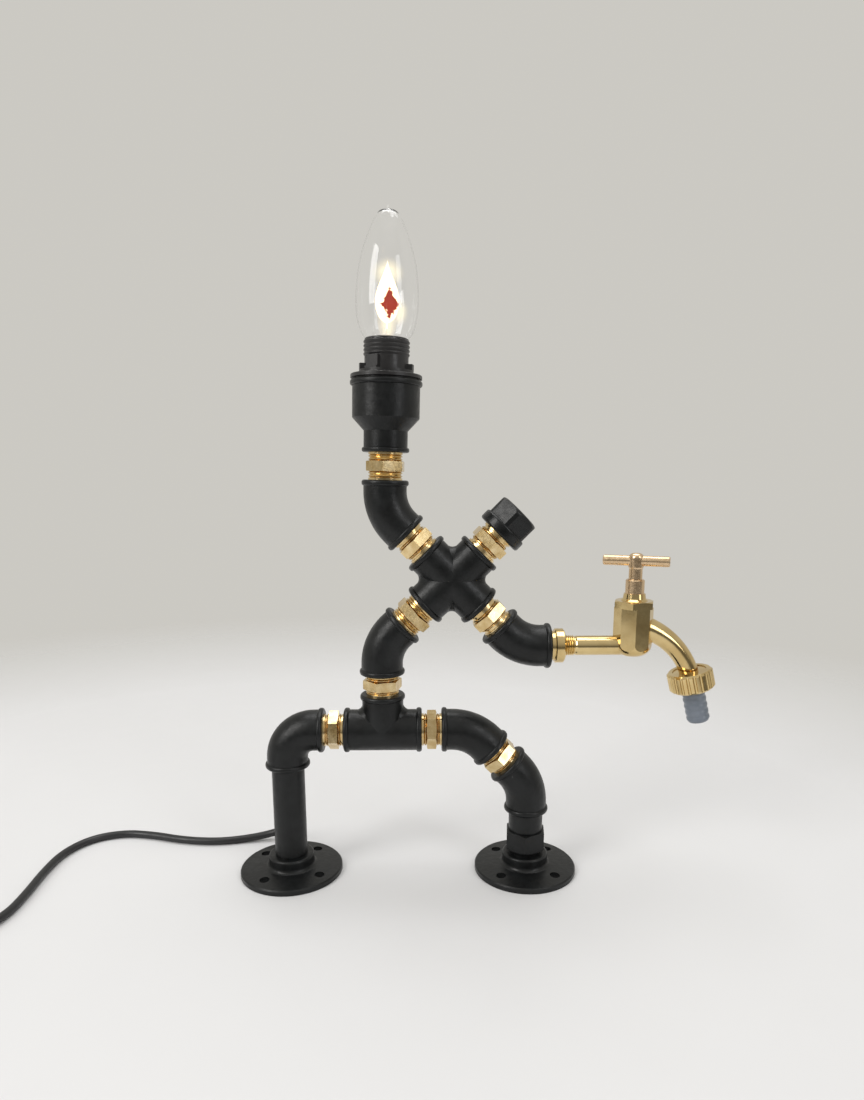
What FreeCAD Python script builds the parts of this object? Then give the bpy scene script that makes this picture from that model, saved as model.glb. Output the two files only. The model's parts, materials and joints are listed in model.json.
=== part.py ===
import FreeCAD, Part
import math
import os

from FreeCAD import Placement, Rotation, Vector

# An industrial table lamp built from half-inch threaded pipe fittings.
# Millimetres. The lamp lies in the plane y = 0. The origin is the centre of the left
# floor flange's underside, +X runs along the lamp to the right, +Z is up.

# ---- Half-inch pipe and its fittings ----
PIPE_OD = 21.3
PIPE_BORE = 16.1
THREAD_OD = 20.95
THREAD_ROOT = 18.9
THREAD_PITCH = 1.814
THREAD_PLAY = 0.05          # radial clearance of a male thread in its port
PORT_DEPTH = 13.0
SCREWED_IN = 11.0           # how far a nipple goes into a port
FITTING_BORE = 17.0
BODY_OD = 26.6
BAND_OD = 28.9
BAND_WIDTH = 3.6
BAND_ROUND = 1.5
CROTCH_OD = 18.0            # rounded filling between two arms of a tee or cross
CROTCH_ROUND = 5.0
CROTCH_SINK = 0.15
PORT_STRAIGHT = 3.0         # straight body between a port's band and the bend

ELBOW_REACH = 24.5          # centre to face of the 90 degree elbow
BEND_REACH = 19.6           # centre to face of the 45 degree elbows
TEE_REACH = 25.2            # centre to face along the tee's run
TEE_RISE = 24.6             # centre to face of the tee's branch
CROSS_REACH = 25.0

# ---- Visible gaps between two fittings, which the nipples bridge ----
ELBOW_TEE_GAP = 13.3
TEE_KNEE_GAP = 12.8
KNEE_GAP = 12.8
TEE_BACK_GAP = 13.2
BACK_CROSS_GAP = 16.4
CROSS_UPPER_GAP = 14.6
CROSS_CAP_GAP = 15.0
CROSS_ARM_GAP = 15.9
HEAD_GAP = 16.45

# ---- Directions in the lamp plane, in degrees above +X ----
KNEE_WAY = -45.0
BACK_WAY = 42.5             # the lower back arm, from its elbow up to the cross
UPPER_WAY = 135.0
CAP_WAY = 45.0
ARM_WAY = -45.0
HEAD_WAY = 88.5             # the lamp head leans a little to the right

RUN_HEIGHT = 98.7           # height of the base run's axis

# ---- Hexagonal nipples ----
NIPPLE_HEX = 22.0           # across flats
NIPPLE_HEX_HEIGHT = 6.3
NIPPLE_CHAMFER = 0.4        # at the hexagon's corners
NIPPLE_RING = 1.3           # smooth ring beside each fitting
NIPPLE_BORE = 14.5

# ---- Floor flanges ----
FLANGE_OD = 67.5
FLANGE_RIM = 3.6            # thickness at the rim
FLANGE_PLATE = 4.8          # thickness beside the hub
FLANGE_HUB_OD = 30.0
FLANGE_HEIGHT = 12.8
FLANGE_HUB_FILLET = 2.5
FLANGE_PCD = 50.0
FLANGE_HOLE = 6.5
FLANGE_HOLES = 4
LEFT_HOLES_AT = 55.0        # degrees to the first hole
RIGHT_HOLES_AT = 45.0
LEG_SEAT = 3.0              # the leg's lower end above the table

# ---- Foot nipple, the black one above the right flange ----
FOOT_HEX = 24.6
FOOT_HEX_LOW = 16.0
FOOT_HEX_HEIGHT = 13.0
FOOT_HEX_TURN = 23.4
FOOT_NECK_OD = 22.4

# ---- Reducing socket, one inch by half an inch ----
SOCKET_LENGTH = 41.65
SOCKET_SMALL_BODY = 26.7
SOCKET_SMALL_END = 12.5     # where the taper starts
SOCKET_TAPER = 7.5
SOCKET_SMALL_BAND_WIDTH = 2.9
SOCKET_BIG_BODY = 40.6
SOCKET_BIG_BAND = 43.3
SOCKET_BIG_BAND_WIDTH = 3.2
SOCKET_BAND_ROUND = 1.2
SOCKET_WALL = 4.6

# ---- End cap ----
CAP_LENGTH = 19.2
CAP_BAND_OD = 30.6
CAP_BAND_WIDTH = 7.0
CAP_BODY_FLATS = 27.0
CAP_BODY_ROUND = 29.8
CAP_EDGE = 3.0              # rounding of the hexagon's edges
CAP_CORNER = 3.2
CAP_TURN = 22.0
CAP_PORT = 13.5

# ---- Ring on the reducing socket's mouth ----
RING_OD = 42.8
RING_HEIGHT = 2.2
RING_NECK = 1.0             # gap between the socket's mouth and the ring
RING_NECK_OD = 38.0
RING_SPIGOT_DEPTH = 8.0
RING_PLAY = 0.1

# ---- Lampholder, E14, heights along the head's axis above a level in the ring ----
HOLDER_LEVEL = 2.2          # that level above the socket's mouth
HOLDER_OD = 26.2
HOLDER_COLLAR_OD = 32.6
HOLDER_COLLAR_TOP = 3.4
LUG_TOP = 7.0
LUG_WIDTH = 11.0
RIB_TOP = 11.0
RIB_WIDTH = 8.4
RIB_OUT = 14.4              # rib's face from the axis
RIB_STEP_TOP = 4.6
RIB_STEP_OUT = 15.6
RIB_AT = -124.0
HOLDER_THREAD_OD = 27.5
HOLDER_THREAD_PITCH = 2.3
HOLDER_THREADS = 4
HOLDER_THREAD_LOW = 11.4
HOLDER_TOP = 21.5
HOLDER_BOTTOM = -21.0
HOLDER_BORE = 22.4
HOLDER_FLOOR = 2.0
HOLDER_ENTRY = 10.2
HOLDER_FLAT_WIDTH = 11.0    # the smooth flat down the front of the thread
HOLDER_FLAT_AT = -68.0      # degrees round the head's axis
INSERT_PLAY = 0.1
INSERT_TOP = 7.0
INSERT_FLOOR = 8.4
SHELL_BORE = 14.4
SHELL_WALL = 0.6
SHELL_TOP = 6.2

# ---- Candle bulb, heights on the same axis ----
BULB_TIP = 95.4
BULB_WIDEST = 18.4          # radius
BULB_BELLY = 50.0           # height of the widest place
BULB_NECK = 8.0             # radius
TIP_BLUNTNESS = 0.72        # 0.5 is an ellipse, 1 a cone's point
BULB_NECK_LOW = 11.0
GLASS_WALL = 0.8
BULB_CAP_OD = 13.9
BULB_CAP_PITCH = 2.822
BULB_CAP_LOW = -5.6
BULB_CAP_TURNS = 4
BULB_SKIRT_OD = 17.4
BULB_SKIRT_TOP = 16.0
BULB_CONTACT_LOW = -8.7
FLAME_LOW = 30.0
FLAME_HEIGHT = 34.0
FLAME_WIDTH = 14.0
FLAME_THICK = 0.5
FLAME_SPACE = 2.4

# ---- Bib tap ----
BUSH_OD = 22.0
BUSH_STEP = 2.8             # black face of the elbow to the ring
BUSH_WIDTH = 6.0
INLET_THREAD_OD = 13.1
INLET_THREAD_ROOT = 11.6
INLET_THREAD_PITCH = 1.337
INLET_RIDGES = 5            # visible ridges between the ring and the pipe
INLET_SCREWED_IN = 9.0
INLET_OD = 12.5
INLET_BORE = 8.6
INLET_PAST = 5.0            # inlet's round end beyond the barrel's axis
BARREL_X = 53.0             # barrel's axis from the elbow's face
BARREL_FLATS = 22.8
BARREL_SIDES = 8
BARREL_TURN = -7.0
BARREL_CUP = 8.5            # rounding of the barrel's foot
BARREL_DROP = 6.6           # barrel's underside below the inlet axis
BARREL_RISE = 24.6          # barrel's top above the inlet axis
CHAMBER = 16.6
SEAT_HEIGHT = 6.6           # valve seat above the inlet axis
SEAT_BORE = 9.0
SPOUT_OD = 16.2             # at its root
SPOUT_MIDDLE_OD = 12.9
SPOUT_TIP_OD = 12.2
SPOUT_RINGS = 6
SPOUT_BORE = 9.6
SPOUT_RADIUS = 49.5
SPOUT_START = 13.4          # spout's start above the inlet axis, on the barrel's axis
SPOUT_SLOPE = -10.0
SPOUT_END = -76.0
OUTLET_LENGTH = 6.3
OUTLET_ABOVE = 6.2

BONNET_HEX = 23.2
BONNET_TURN = 12.0
BONNET_HEIGHT = 4.6
BONNET_NECK_OD = 14.4
BONNET_NECK = 4.4
BONNET_SPIGOT = 8.0
BONNET_SPIGOT_OD = 16.4
SPINDLE_OD = 8.4
SPINDLE_THREAD_OD = 11.4
SPINDLE_PLAY = 0.08
VALVE_LIFT = 5.0
GLAND_OD = 11.8
GLAND_TOP = 17.9            # gland nut's top above the barrel's top
GLAND_MALE_OD = 10.2
GLAND_MALE = 2.4
BOSS_HEIGHT = 29.6          # T-bar's axis above the barrel's top
BOSS_OD = 9.4
BOSS_RISE = 4.9             # boss above and below the bar's axis
BAR_OD = 6.6
BAR_LENGTH = 40.9
BAR_TURN = -22.0            # degrees round the spindle
JUMPER_OD = 12.6
JUMPER_DISC = 2.4
WASHER_HEIGHT = 2.6
JUMPER_STEM_OD = 5.0
JUMPER_STEM = 6.0

# ---- Union nut and hose tail, heights along the outlet's axis, outwards ----
NUT_OD = 28.8
NUT_ABOVE = 6.8
NUT_LIP = 2.2
NUT_CHAMFER = 1.4
NUT_RIBS = 22
NUT_RIB_DEPTH = 0.9
NUT_PLAY = 0.12
OUTLET_THREAD_OD = 20.9
TAIL_OD = 14.6
TAIL_ROOT = 13.7
TAIL_BORE = 9.4
TAIL_FLANGE_OD = 20.4
TAIL_FLANGE = 1.9
TAIL_END = 27.8
TAIL_BARBS = 5
HOSE_WASHER = 1.5

# ---- Power cord ----
CORD_OD = 5.2
CORD_EXIT = 22.5            # height of the hole at the back of the left leg
GROMMET_OD = 10.4
GROMMET_FLANGE = 1.6
GROMMET_TAIL = 6.8          # tapered sleeve round the cord
GROMMET_TAIL_OD = 8.8
SLEEVE_END_OD = 6.4         # thin end of the sleeves on the cord
CORD_HOLE = 7.6
COIL_MEAN = 57.2            # diameter across the middle of the turns
COIL_SLOT_RING = 6.96       # radius of the ring of turns in the bundle's section
COIL_ENTRY = -45.0          # degrees round that section where the lead comes in
COIL_CENTRE = Vector(-270.0, -38.0, 0)

# The free lead, as the points that its centreline turns at, in millimetres.
SWITCH_HEIGHT = 16.0
PLUG_HEIGHT = 13.8
ON_TABLE = CORD_OD / 2
AT_SWITCH = SWITCH_HEIGHT / 2
AT_PLUG = PLUG_HEIGHT / 2
LEG_BACK = PIPE_OD / 2 + GROMMET_FLANGE
LEAD_TO_SWITCH = [
    (0, LEG_BACK, CORD_EXIT), (0, 25.5, CORD_EXIT), (-5.5, 37.5, 14.2), (-19, 42.5, 5.6),
    (-38, 39.5, ON_TABLE), (-60, 34.7, ON_TABLE), (-85, 37.5, ON_TABLE), (-109, 45.5, ON_TABLE),
    (-132, 49, ON_TABLE), (-153, 40.5, ON_TABLE), (-163.8, 20, ON_TABLE), (-164.2, -6, ON_TABLE),
    (-161.8, -32, ON_TABLE), (-161.5, -55, ON_TABLE), (-168, -72, 4.4), (-181.5, -82.5, AT_SWITCH),
    (-198, -85, AT_SWITCH),
]

# ---- In-line switch ----
SWITCH_LENGTH = 58.0
SWITCH_WIDTH = 26.0
SWITCH_WALL = 1.8
SWITCH_CORNER = 3.0
SWITCH_RIM = 1.4
SWITCH_TAIL = 19.0          # straight cord beyond the switch
ROCKER_LENGTH = 20.0
ROCKER_WIDTH = 10.4
ROCKER_PLAY = 0.4           # at each side
ROCKER_END_PLAY = 1.2
ROCKER_PROUD = 1.6          # rocker's raised end above the shell
ROCKER_TILT = 7.0
ROCKER_BELOW = 3.0          # rocker's lowest edge below its pivot
ROCKER_PIN_OD = 2.4
ROCKER_PIN_PLAY = 0.05
ROCKER_PIVOT = 12.0         # pivot's height above the table
EAR = 2.0

# ---- Plug with two round pins ----
PLUG_WIDTH = 35.0
PLUG_LENGTH = 30.0
PLUG_STRAIGHT = 12.0
PLUG_CABLE_WIDTH = 12.0
PLUG_NECK = 24.0
PLUG_NECK_OD = 9.0
PLUG_CORNER = 2.4
PLUG_PIN_OD = 4.0
PLUG_PIN = 19.0
PLUG_PIN_ROUND = 1.4
PLUG_PIN_SEAT = 8.0
PLUG_PIN_SPACING = 18.6

# ---- Tie round the coil ----
TIE_THICK = 1.0
TIE_WIDTH = 9.0
TIE_LIFT = 0.4              # ends of the strap above the table
TIE_AT = -20.0

ORIGIN = Vector(0, 0, 0)
Z = Vector(0, 0, 1)
Y = Vector(0, 1, 0)


# ---------------------------------------------------------------- shapes
def way(angle):
    """The unit vector in the lamp plane at angle degrees above +X."""
    return Vector(math.cos(math.radians(angle)), 0, math.sin(math.radians(angle)))


def cylinder(diameter, low, high):
    return Part.makeCylinder(diameter / 2, high - low, Vector(0, 0, low))


def tube(outer, bore, low, high):
    return cylinder(outer, low, high).cut(cylinder(bore, low - 1, high + 1))


def prism(flats, low, high, sides=6, turn=0.0):
    """A regular prism on +Z, by its width across flats."""
    corner = flats / 2 / math.cos(math.pi / sides)
    points = []
    for i in range(sides + 1):
        a = math.radians(turn) + 2 * math.pi * i / sides
        points.append(Vector(corner * math.cos(a), corner * math.sin(a), low))
    return Part.Face(Part.makePolygon(points)).extrude(Vector(0, 0, high - low))


def turned(outline):
    """A solid turned about +Z from the (diameter, height) corners of its outline."""
    corners = [Vector(d / 2, 0, h) for d, h in outline]
    return Part.Face(Part.makePolygon(corners + corners[:1])).revolve(ORIGIN, Z, 360)


def round_edges(shape, radius, height, tolerance=0.01):
    """Rounds the circular edges of a shape on +Z that lie at one height."""
    found = []
    for edge in shape.Edges:
        box = edge.BoundBox
        if edge.isClosed() and abs(box.ZMin - height) < tolerance and abs(box.ZMax - height) < tolerance:
            found.append(edge)
    return shape.makeFillet(radius, found)


def band(diameter, low, high, radius):
    """A ring's outer shape with both rims rounded."""
    return round_edges(round_edges(cylinder(diameter, low, high), radius, low), radius, high)


def placed(shape, point, direction, turn=0.0):
    """Moves a shape built on +Z so that it starts at point and runs along direction."""
    moved = shape.copy()
    spin = Placement(ORIGIN, Rotation(Z, turn))
    moved.Placement = Placement(point, Rotation(Z, direction)).multiply(spin).multiply(moved.Placement)
    return moved


def fused(shapes):
    whole = shapes[0].multiFuse(shapes[1:]) if len(shapes) > 1 else shapes[0]
    return whole.removeSplitter()


def rounded_path(points, radii):
    """Straight runs joined by tangent arcs. One radius for each inner point."""
    points = [Vector(*p) for p in points]
    edges = []
    start = points[0]
    for i, radius in enumerate(radii):
        corner = points[i + 1]
        back = (points[i] - corner).normalize()
        ahead = (points[i + 2] - corner).normalize()
        half = back.getAngle(ahead) / 2
        reach = radius / math.tan(half)
        first = corner + back * reach
        last = corner + ahead * reach
        bisector = (back + ahead).normalize()
        middle = corner + bisector * (radius / math.sin(half) - radius)
        if (first - start).Length > 1e-6:
            edges.append(Part.LineSegment(start, first).toShape())
        edges.append(Part.Arc(first, middle, last).toShape())
        start = last
    if (points[-1] - start).Length > 1e-6:
        edges.append(Part.LineSegment(start, points[-1]).toShape())
    return Part.Wire(edges)


def rod(path, diameter):
    """A round rod along a path."""
    start = path.OrderedVertexes[0].Point
    edge = path.OrderedEdges[0]
    tangent = edge.tangentAt(edge.FirstParameter)
    if (edge.valueAt(edge.FirstParameter) - start).Length > 1e-6:
        tangent = edge.tangentAt(edge.LastParameter) * -1
    section = Part.Wire(Part.Circle(start, tangent, diameter / 2).toShape())
    return Part.Wire(path.OrderedEdges).makePipeShell([section], True, False)


def run_radii(points):
    """The largest arc that each inner point's two runs allow."""
    points = [Vector(*p) for p in points]
    radii = []
    for before, corner, after in zip(points, points[1:], points[2:]):
        back = before - corner
        ahead = after - corner
        half_turn = (math.pi - back.getAngle(ahead)) / 2
        radii.append(0.45 * min(back.Length, ahead.Length) / math.tan(half_turn))
    return radii


# ---------------------------------------------------------------- the pipe fittings
def arm(reach):
    """One arm of a fitting, from its centre to its face, with its rounded band."""
    return cylinder(BODY_OD, 0, reach).fuse(band(BAND_OD, reach - BAND_WIDTH, reach, BAND_ROUND))


def port(reach):
    """The hollow of one arm: its thread's port and the passage behind it."""
    thread = cylinder(THREAD_OD + 2 * THREAD_PLAY, reach - PORT_DEPTH, reach + 1)
    return cylinder(FITTING_BORE, 0, reach).fuse(thread)


def bend_path(centre, ways, reach):
    """The centreline of an elbow from face to face."""
    half = ways[0].getAngle(ways[1]) / 2
    radius = (reach - BAND_WIDTH - PORT_STRAIGHT) * math.tan(half)
    return rounded_path([centre + ways[0] * reach, centre, centre + ways[1] * reach], [radius])


def elbow(centre, ways, reach):
    """An elbow with a port along each of two ways."""
    path = bend_path(centre, ways, reach)
    solid = [rod(path, BODY_OD)]
    hollow = [rod(path, FITTING_BORE)]
    for w in ways:
        solid.append(placed(band(BAND_OD, reach - BAND_WIDTH, reach, BAND_ROUND), centre, w))
        hollow.append(placed(cylinder(THREAD_OD + 2 * THREAD_PLAY, reach - PORT_DEPTH, reach + 1), centre, w))
    return fused(solid).cut(fused(hollow))


def crotch(centre, first, second):
    """A bent rod that rounds the hollow edge between two arms, just inside their skins."""
    half = first.getAngle(second) / 2
    inward = (BODY_OD - CROTCH_OD) / 2 - CROTCH_SINK
    corner = centre + (first + second).normalize() * (inward / math.sin(half))
    radius = CROTCH_OD / 2 + CROTCH_ROUND
    length = radius / math.tan(half) + CROTCH_ROUND / 2
    return rod(rounded_path([corner + first * length, corner, corner + second * length], [radius]), CROTCH_OD)


def branched(centre, ways, reaches):
    """A tee or a cross, with rounded crotches between neighbouring arms."""
    solid = []
    hollow = []
    for w, reach in zip(ways, reaches):
        solid.append(placed(arm(reach), centre, w))
        hollow.append(placed(port(reach), centre, w))
    for i, first in enumerate(ways):
        for second in ways[i + 1:]:
            if math.degrees(first.getAngle(second)) < 120:
                solid.append(crotch(centre, first, second))
    return fused(solid).cut(fused(hollow))


def ridges(start, pitch, count, crest, root):
    """Corners of a row of thread ridges, going up from start."""
    corners = []
    for i in range(count):
        low = start + i * pitch
        corners += [(root, low), (crest, low + 0.42 * pitch), (crest, low + 0.58 * pitch)]
    return corners + [(root, start + count * pitch)]


def hex_nipple(gap):
    """A brass nipple on +Z, centred in the gap that it bridges."""
    half = gap / 2 + SCREWED_IN
    hexagon = NIPPLE_HEX_HEIGHT / 2
    ring = gap / 2 - NIPPLE_RING
    count = math.floor((ring - hexagon) / THREAD_PITCH)
    runout = hexagon + count * THREAD_PITCH
    chamfer = (THREAD_OD - THREAD_ROOT) / 2
    upper = ridges(hexagon, THREAD_PITCH, count, THREAD_OD, THREAD_ROOT)
    upper += [(THREAD_ROOT, ring - 0.1), (THREAD_OD, ring + 0.1), (THREAD_OD, half - chamfer),
              (THREAD_ROOT, half)]
    outline = [(0, -half)] + [(d, -h) for d, h in reversed(upper)] + upper + [(0, half)]
    corner = NIPPLE_HEX / math.cos(math.pi / 6)
    shoulder = hexagon - NIPPLE_CHAMFER
    chamfered = turned([(0, -hexagon), (NIPPLE_HEX, -hexagon), (corner, -shoulder), (corner, shoulder),
                        (NIPPLE_HEX, hexagon), (0, hexagon)])
    nut = prism(NIPPLE_HEX, -hexagon, hexagon).common(chamfered)
    return turned(outline).fuse(nut).cut(cylinder(NIPPLE_BORE, -half - 1, half + 1))


def floor_flange(centre, holes_at, bore):
    """A floor flange standing on z = 0."""
    plate = turned([(0, 0), (FLANGE_OD, 0), (FLANGE_OD, FLANGE_RIM - 0.8), (FLANGE_OD - 1.6, FLANGE_RIM),
                    (FLANGE_HUB_OD, FLANGE_PLATE), (FLANGE_HUB_OD, FLANGE_HEIGHT), (0, FLANGE_HEIGHT)])
    plate = round_edges(plate, BAND_ROUND, FLANGE_HEIGHT)
    plate = round_edges(plate, FLANGE_HUB_FILLET, FLANGE_PLATE)
    plate = plate.cut(cylinder(bore, -1, FLANGE_HEIGHT + 1))
    for i in range(FLANGE_HOLES):
        a = math.radians(holes_at + 360.0 * i / FLANGE_HOLES)
        hole = cylinder(FLANGE_HOLE, -1, FLANGE_HEIGHT)
        hole.translate(Vector(FLANGE_PCD / 2 * math.cos(a), FLANGE_PCD / 2 * math.sin(a), 0))
        plate = plate.cut(hole)
    plate.translate(centre)
    return plate


# ---------------------------------------------------------------- where everything sits
BACK_UP = way(BACK_WAY)
UPPER = way(UPPER_WAY)
HEAD = way(HEAD_WAY)
ARM = way(ARM_WAY)
CAP = way(CAP_WAY)
KNEE = way(KNEE_WAY)
RIGHT = way(0)
LEFT = way(180)

corner_centre = Vector(0, 0, RUN_HEIGHT)
tee_centre = corner_centre + RIGHT * (ELBOW_REACH + ELBOW_TEE_GAP + TEE_REACH)
knee_upper_centre = tee_centre + RIGHT * (TEE_REACH + TEE_KNEE_GAP + BEND_REACH)
knee_lower_centre = knee_upper_centre + KNEE * (2 * BEND_REACH + KNEE_GAP)
right_foot = Vector(knee_lower_centre.x, 0, 0)
back_centre = tee_centre + Z * (TEE_RISE + TEE_BACK_GAP + BEND_REACH)
cross_centre = back_centre + BACK_UP * (BEND_REACH + BACK_CROSS_GAP + CROSS_REACH)
upper_centre = cross_centre + UPPER * (CROSS_REACH + CROSS_UPPER_GAP + BEND_REACH)
socket_foot = upper_centre + HEAD * (BEND_REACH + HEAD_GAP)
mouth = socket_foot + HEAD * SOCKET_LENGTH
holder_level = mouth + HEAD * HOLDER_LEVEL
cap_face = cross_centre + CAP * (CROSS_REACH + CROSS_CAP_GAP)
arm_centre = cross_centre + ARM * (CROSS_REACH + CROSS_ARM_GAP + BEND_REACH)
inlet = arm_centre + RIGHT * BEND_REACH
barrel = inlet + RIGHT * BARREL_X
PORT_BORE = THREAD_OD + 2 * THREAD_PLAY


def nipple(start, direction, reach, gap, turn):
    """A hex nipple beyond a fitting of the given reach, screwed in to its own angle."""
    return placed(hex_nipple(gap), start + direction * (reach + gap / 2), direction, turn)


def left_leg_pipe():
    top = RUN_HEIGHT - ELBOW_REACH + SCREWED_IN
    pipe = tube(PIPE_OD, PIPE_BORE, LEG_SEAT, FLANGE_HEIGHT + 1)
    pipe = pipe.fuse(tube(PIPE_OD, PIPE_BORE, FLANGE_HEIGHT + 1, RUN_HEIGHT - ELBOW_REACH))
    pipe = pipe.fuse(tube(THREAD_OD, PIPE_BORE, RUN_HEIGHT - ELBOW_REACH, top))
    exit_hole = placed(cylinder(CORD_HOLE, 0, PIPE_OD), Vector(0, 0, CORD_EXIT), Y)
    return pipe.removeSplitter().cut(exit_hole)


def foot_nipple():
    """The black nipple between the right flange and the lower knee elbow."""
    low = LEG_SEAT
    neck_top = knee_lower_centre.z - BEND_REACH
    hex_top = FOOT_HEX_LOW + FOOT_HEX_HEIGHT
    corner = FOOT_HEX / math.cos(math.pi / 6)
    slope = (corner - FOOT_HEX) / 4
    chamfered = turned([(0, FOOT_HEX_LOW), (FOOT_HEX, FOOT_HEX_LOW), (corner, FOOT_HEX_LOW + slope),
                        (corner, hex_top - slope), (FOOT_HEX, hex_top), (0, hex_top)])
    body = turned([(0, low), (THREAD_OD, low), (THREAD_OD, FLANGE_HEIGHT + 0.6),
                   (FOOT_NECK_OD, FOOT_HEX_LOW), (FOOT_NECK_OD, neck_top - 1.2), (THREAD_OD, neck_top - 0.4),
                   (THREAD_OD, neck_top + SCREWED_IN), (0, neck_top + SCREWED_IN)])
    body = body.fuse(prism(FOOT_HEX, FOOT_HEX_LOW, hex_top, 6, FOOT_HEX_TURN).common(chamfered))
    body = body.cut(cylinder(NIPPLE_BORE, 0, neck_top + SCREWED_IN + 1))
    body.translate(right_foot)
    return body


def end_cap():
    """The cap on the cross's spare arm, from its open face outwards."""
    body = prism(CAP_BODY_FLATS, CAP_BAND_WIDTH - 1, CAP_LENGTH, 6, CAP_TURN)
    upright = [e for e in body.Edges if e.BoundBox.ZLength > CAP_LENGTH - CAP_BAND_WIDTH]
    body = body.makeFillet(CAP_EDGE, upright)
    rounded = round_edges(cylinder(CAP_BODY_ROUND, 0, CAP_LENGTH), CAP_CORNER, CAP_LENGTH)
    solid = body.common(rounded).fuse(band(CAP_BAND_OD, 0, CAP_BAND_WIDTH, BAND_ROUND))
    solid = solid.cut(cylinder(PORT_BORE, -1, CAP_PORT))
    return placed(solid, cap_face, CAP)


SOCKET_BORE = SOCKET_BIG_BODY - 2 * SOCKET_WALL


def reducing_socket():
    taper_top = SOCKET_SMALL_END + SOCKET_TAPER
    outer = turned([(0, 0), (SOCKET_SMALL_BODY, 0), (SOCKET_SMALL_BODY, SOCKET_SMALL_END),
                    (SOCKET_BIG_BODY, taper_top), (SOCKET_BIG_BODY, SOCKET_LENGTH), (0, SOCKET_LENGTH)])
    small_band = band(BAND_OD, 0, SOCKET_SMALL_BAND_WIDTH, SOCKET_BAND_ROUND)
    big_low = SOCKET_LENGTH - SOCKET_BIG_BAND_WIDTH
    big_band = band(SOCKET_BIG_BAND, big_low, SOCKET_LENGTH, SOCKET_BAND_ROUND)
    inner = turned([(0, -1), (PORT_BORE, -1), (PORT_BORE, PORT_DEPTH), (FITTING_BORE, PORT_DEPTH),
                    (FITTING_BORE, SOCKET_SMALL_END + 1), (SOCKET_BORE, taper_top + 1),
                    (SOCKET_BORE, SOCKET_LENGTH + 1), (0, SOCKET_LENGTH + 1)])
    return placed(fused([outer, small_band, big_band]).cut(inner), socket_foot, HEAD)


# ---------------------------------------------------------------- the lampholder and bulb
def holder_ring():
    """The ring that closes the socket's mouth and carries the lampholder."""
    spigot = SOCKET_BORE - 2 * RING_PLAY
    high = RING_NECK + RING_HEIGHT
    shape = turned([(0, -RING_SPIGOT_DEPTH), (spigot, -RING_SPIGOT_DEPTH), (spigot, 0), (RING_NECK_OD, 0),
                    (RING_NECK_OD, RING_NECK), (RING_OD, RING_NECK), (RING_OD, high), (0, high)])
    shape = round_edges(shape, RING_HEIGHT * 0.3, high)
    bore = cylinder(HOLDER_OD + 2 * RING_PLAY, -RING_SPIGOT_DEPTH - 1, high + 1)
    return placed(shape.cut(bore), mouth, HEAD)


RING_TOP = RING_NECK + RING_HEIGHT - HOLDER_LEVEL


def holder_block(out, width, top, at):
    """A block on the lampholder's side, from the ring up, facing at degrees round the axis."""
    block = Part.makeBox(out, width, top - RING_TOP, Vector(0, -width / 2, RING_TOP))
    block.rotate(ORIGIN, Z, at)
    return block


def holder_shell():
    """The lampholder's body: thread, base collar, two lugs and a flat rib."""
    thread_top = HOLDER_THREAD_LOW + HOLDER_THREADS * HOLDER_THREAD_PITCH
    outline = [(0, HOLDER_BOTTOM), (HOLDER_OD, HOLDER_BOTTOM), (HOLDER_OD, RING_TOP),
               (HOLDER_COLLAR_OD, RING_TOP), (HOLDER_COLLAR_OD, HOLDER_COLLAR_TOP),
               (HOLDER_OD, HOLDER_COLLAR_TOP)]
    outline += ridges(HOLDER_THREAD_LOW, HOLDER_THREAD_PITCH, HOLDER_THREADS, HOLDER_THREAD_OD, HOLDER_OD)
    outline += [(HOLDER_OD, thread_top + 0.2), (HOLDER_OD, HOLDER_TOP), (0, HOLDER_TOP)]
    shape = round_edges(turned(outline), 0.8, HOLDER_TOP)
    lugs = holder_block(HOLDER_COLLAR_OD, LUG_WIDTH, LUG_TOP, 0).fuse(
        holder_block(HOLDER_COLLAR_OD, LUG_WIDTH, LUG_TOP, 180))
    lugs = lugs.common(cylinder(HOLDER_COLLAR_OD, RING_TOP, LUG_TOP))
    rib = holder_block(RIB_OUT, RIB_WIDTH, RIB_TOP, RIB_AT)
    step = holder_block(RIB_STEP_OUT, RIB_WIDTH, RIB_STEP_TOP, RIB_AT)
    shape = fused([shape, lugs, rib, step])
    shape = shape.cut(cylinder(HOLDER_BORE, HOLDER_BOTTOM + HOLDER_FLOOR, HOLDER_TOP + 1))
    shape = shape.cut(cylinder(HOLDER_ENTRY, HOLDER_BOTTOM - 1, HOLDER_TOP))
    flat = Part.makeBox(HOLDER_THREAD_OD, HOLDER_FLAT_WIDTH, HOLDER_TOP,
                        Vector(HOLDER_OD / 2 - 0.15, -HOLDER_FLAT_WIDTH / 2, HOLDER_COLLAR_TOP))
    flat.rotate(ORIGIN, Z, HOLDER_FLAT_AT)
    return placed(shape.cut(flat), holder_level, HEAD)


INSERT_LOW = HOLDER_BOTTOM + HOLDER_FLOOR
INSERT_OD = HOLDER_BORE - 2 * INSERT_PLAY
CONTACT_SEAT = INSERT_LOW + INSERT_FLOOR
SHELL_OD = SHELL_BORE + 2 * SHELL_WALL


def holder_insert():
    """The insulating cup that holds the lampholder's contacts."""
    shape = cylinder(INSERT_OD, INSERT_LOW, INSERT_TOP)
    shape = shape.cut(cylinder(SHELL_OD + 2 * INSERT_PLAY, CONTACT_SEAT, INSERT_TOP + 1))
    return placed(shape.cut(cylinder(CORD_OD, INSERT_LOW - 1, INSERT_TOP)), holder_level, HEAD)


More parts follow.
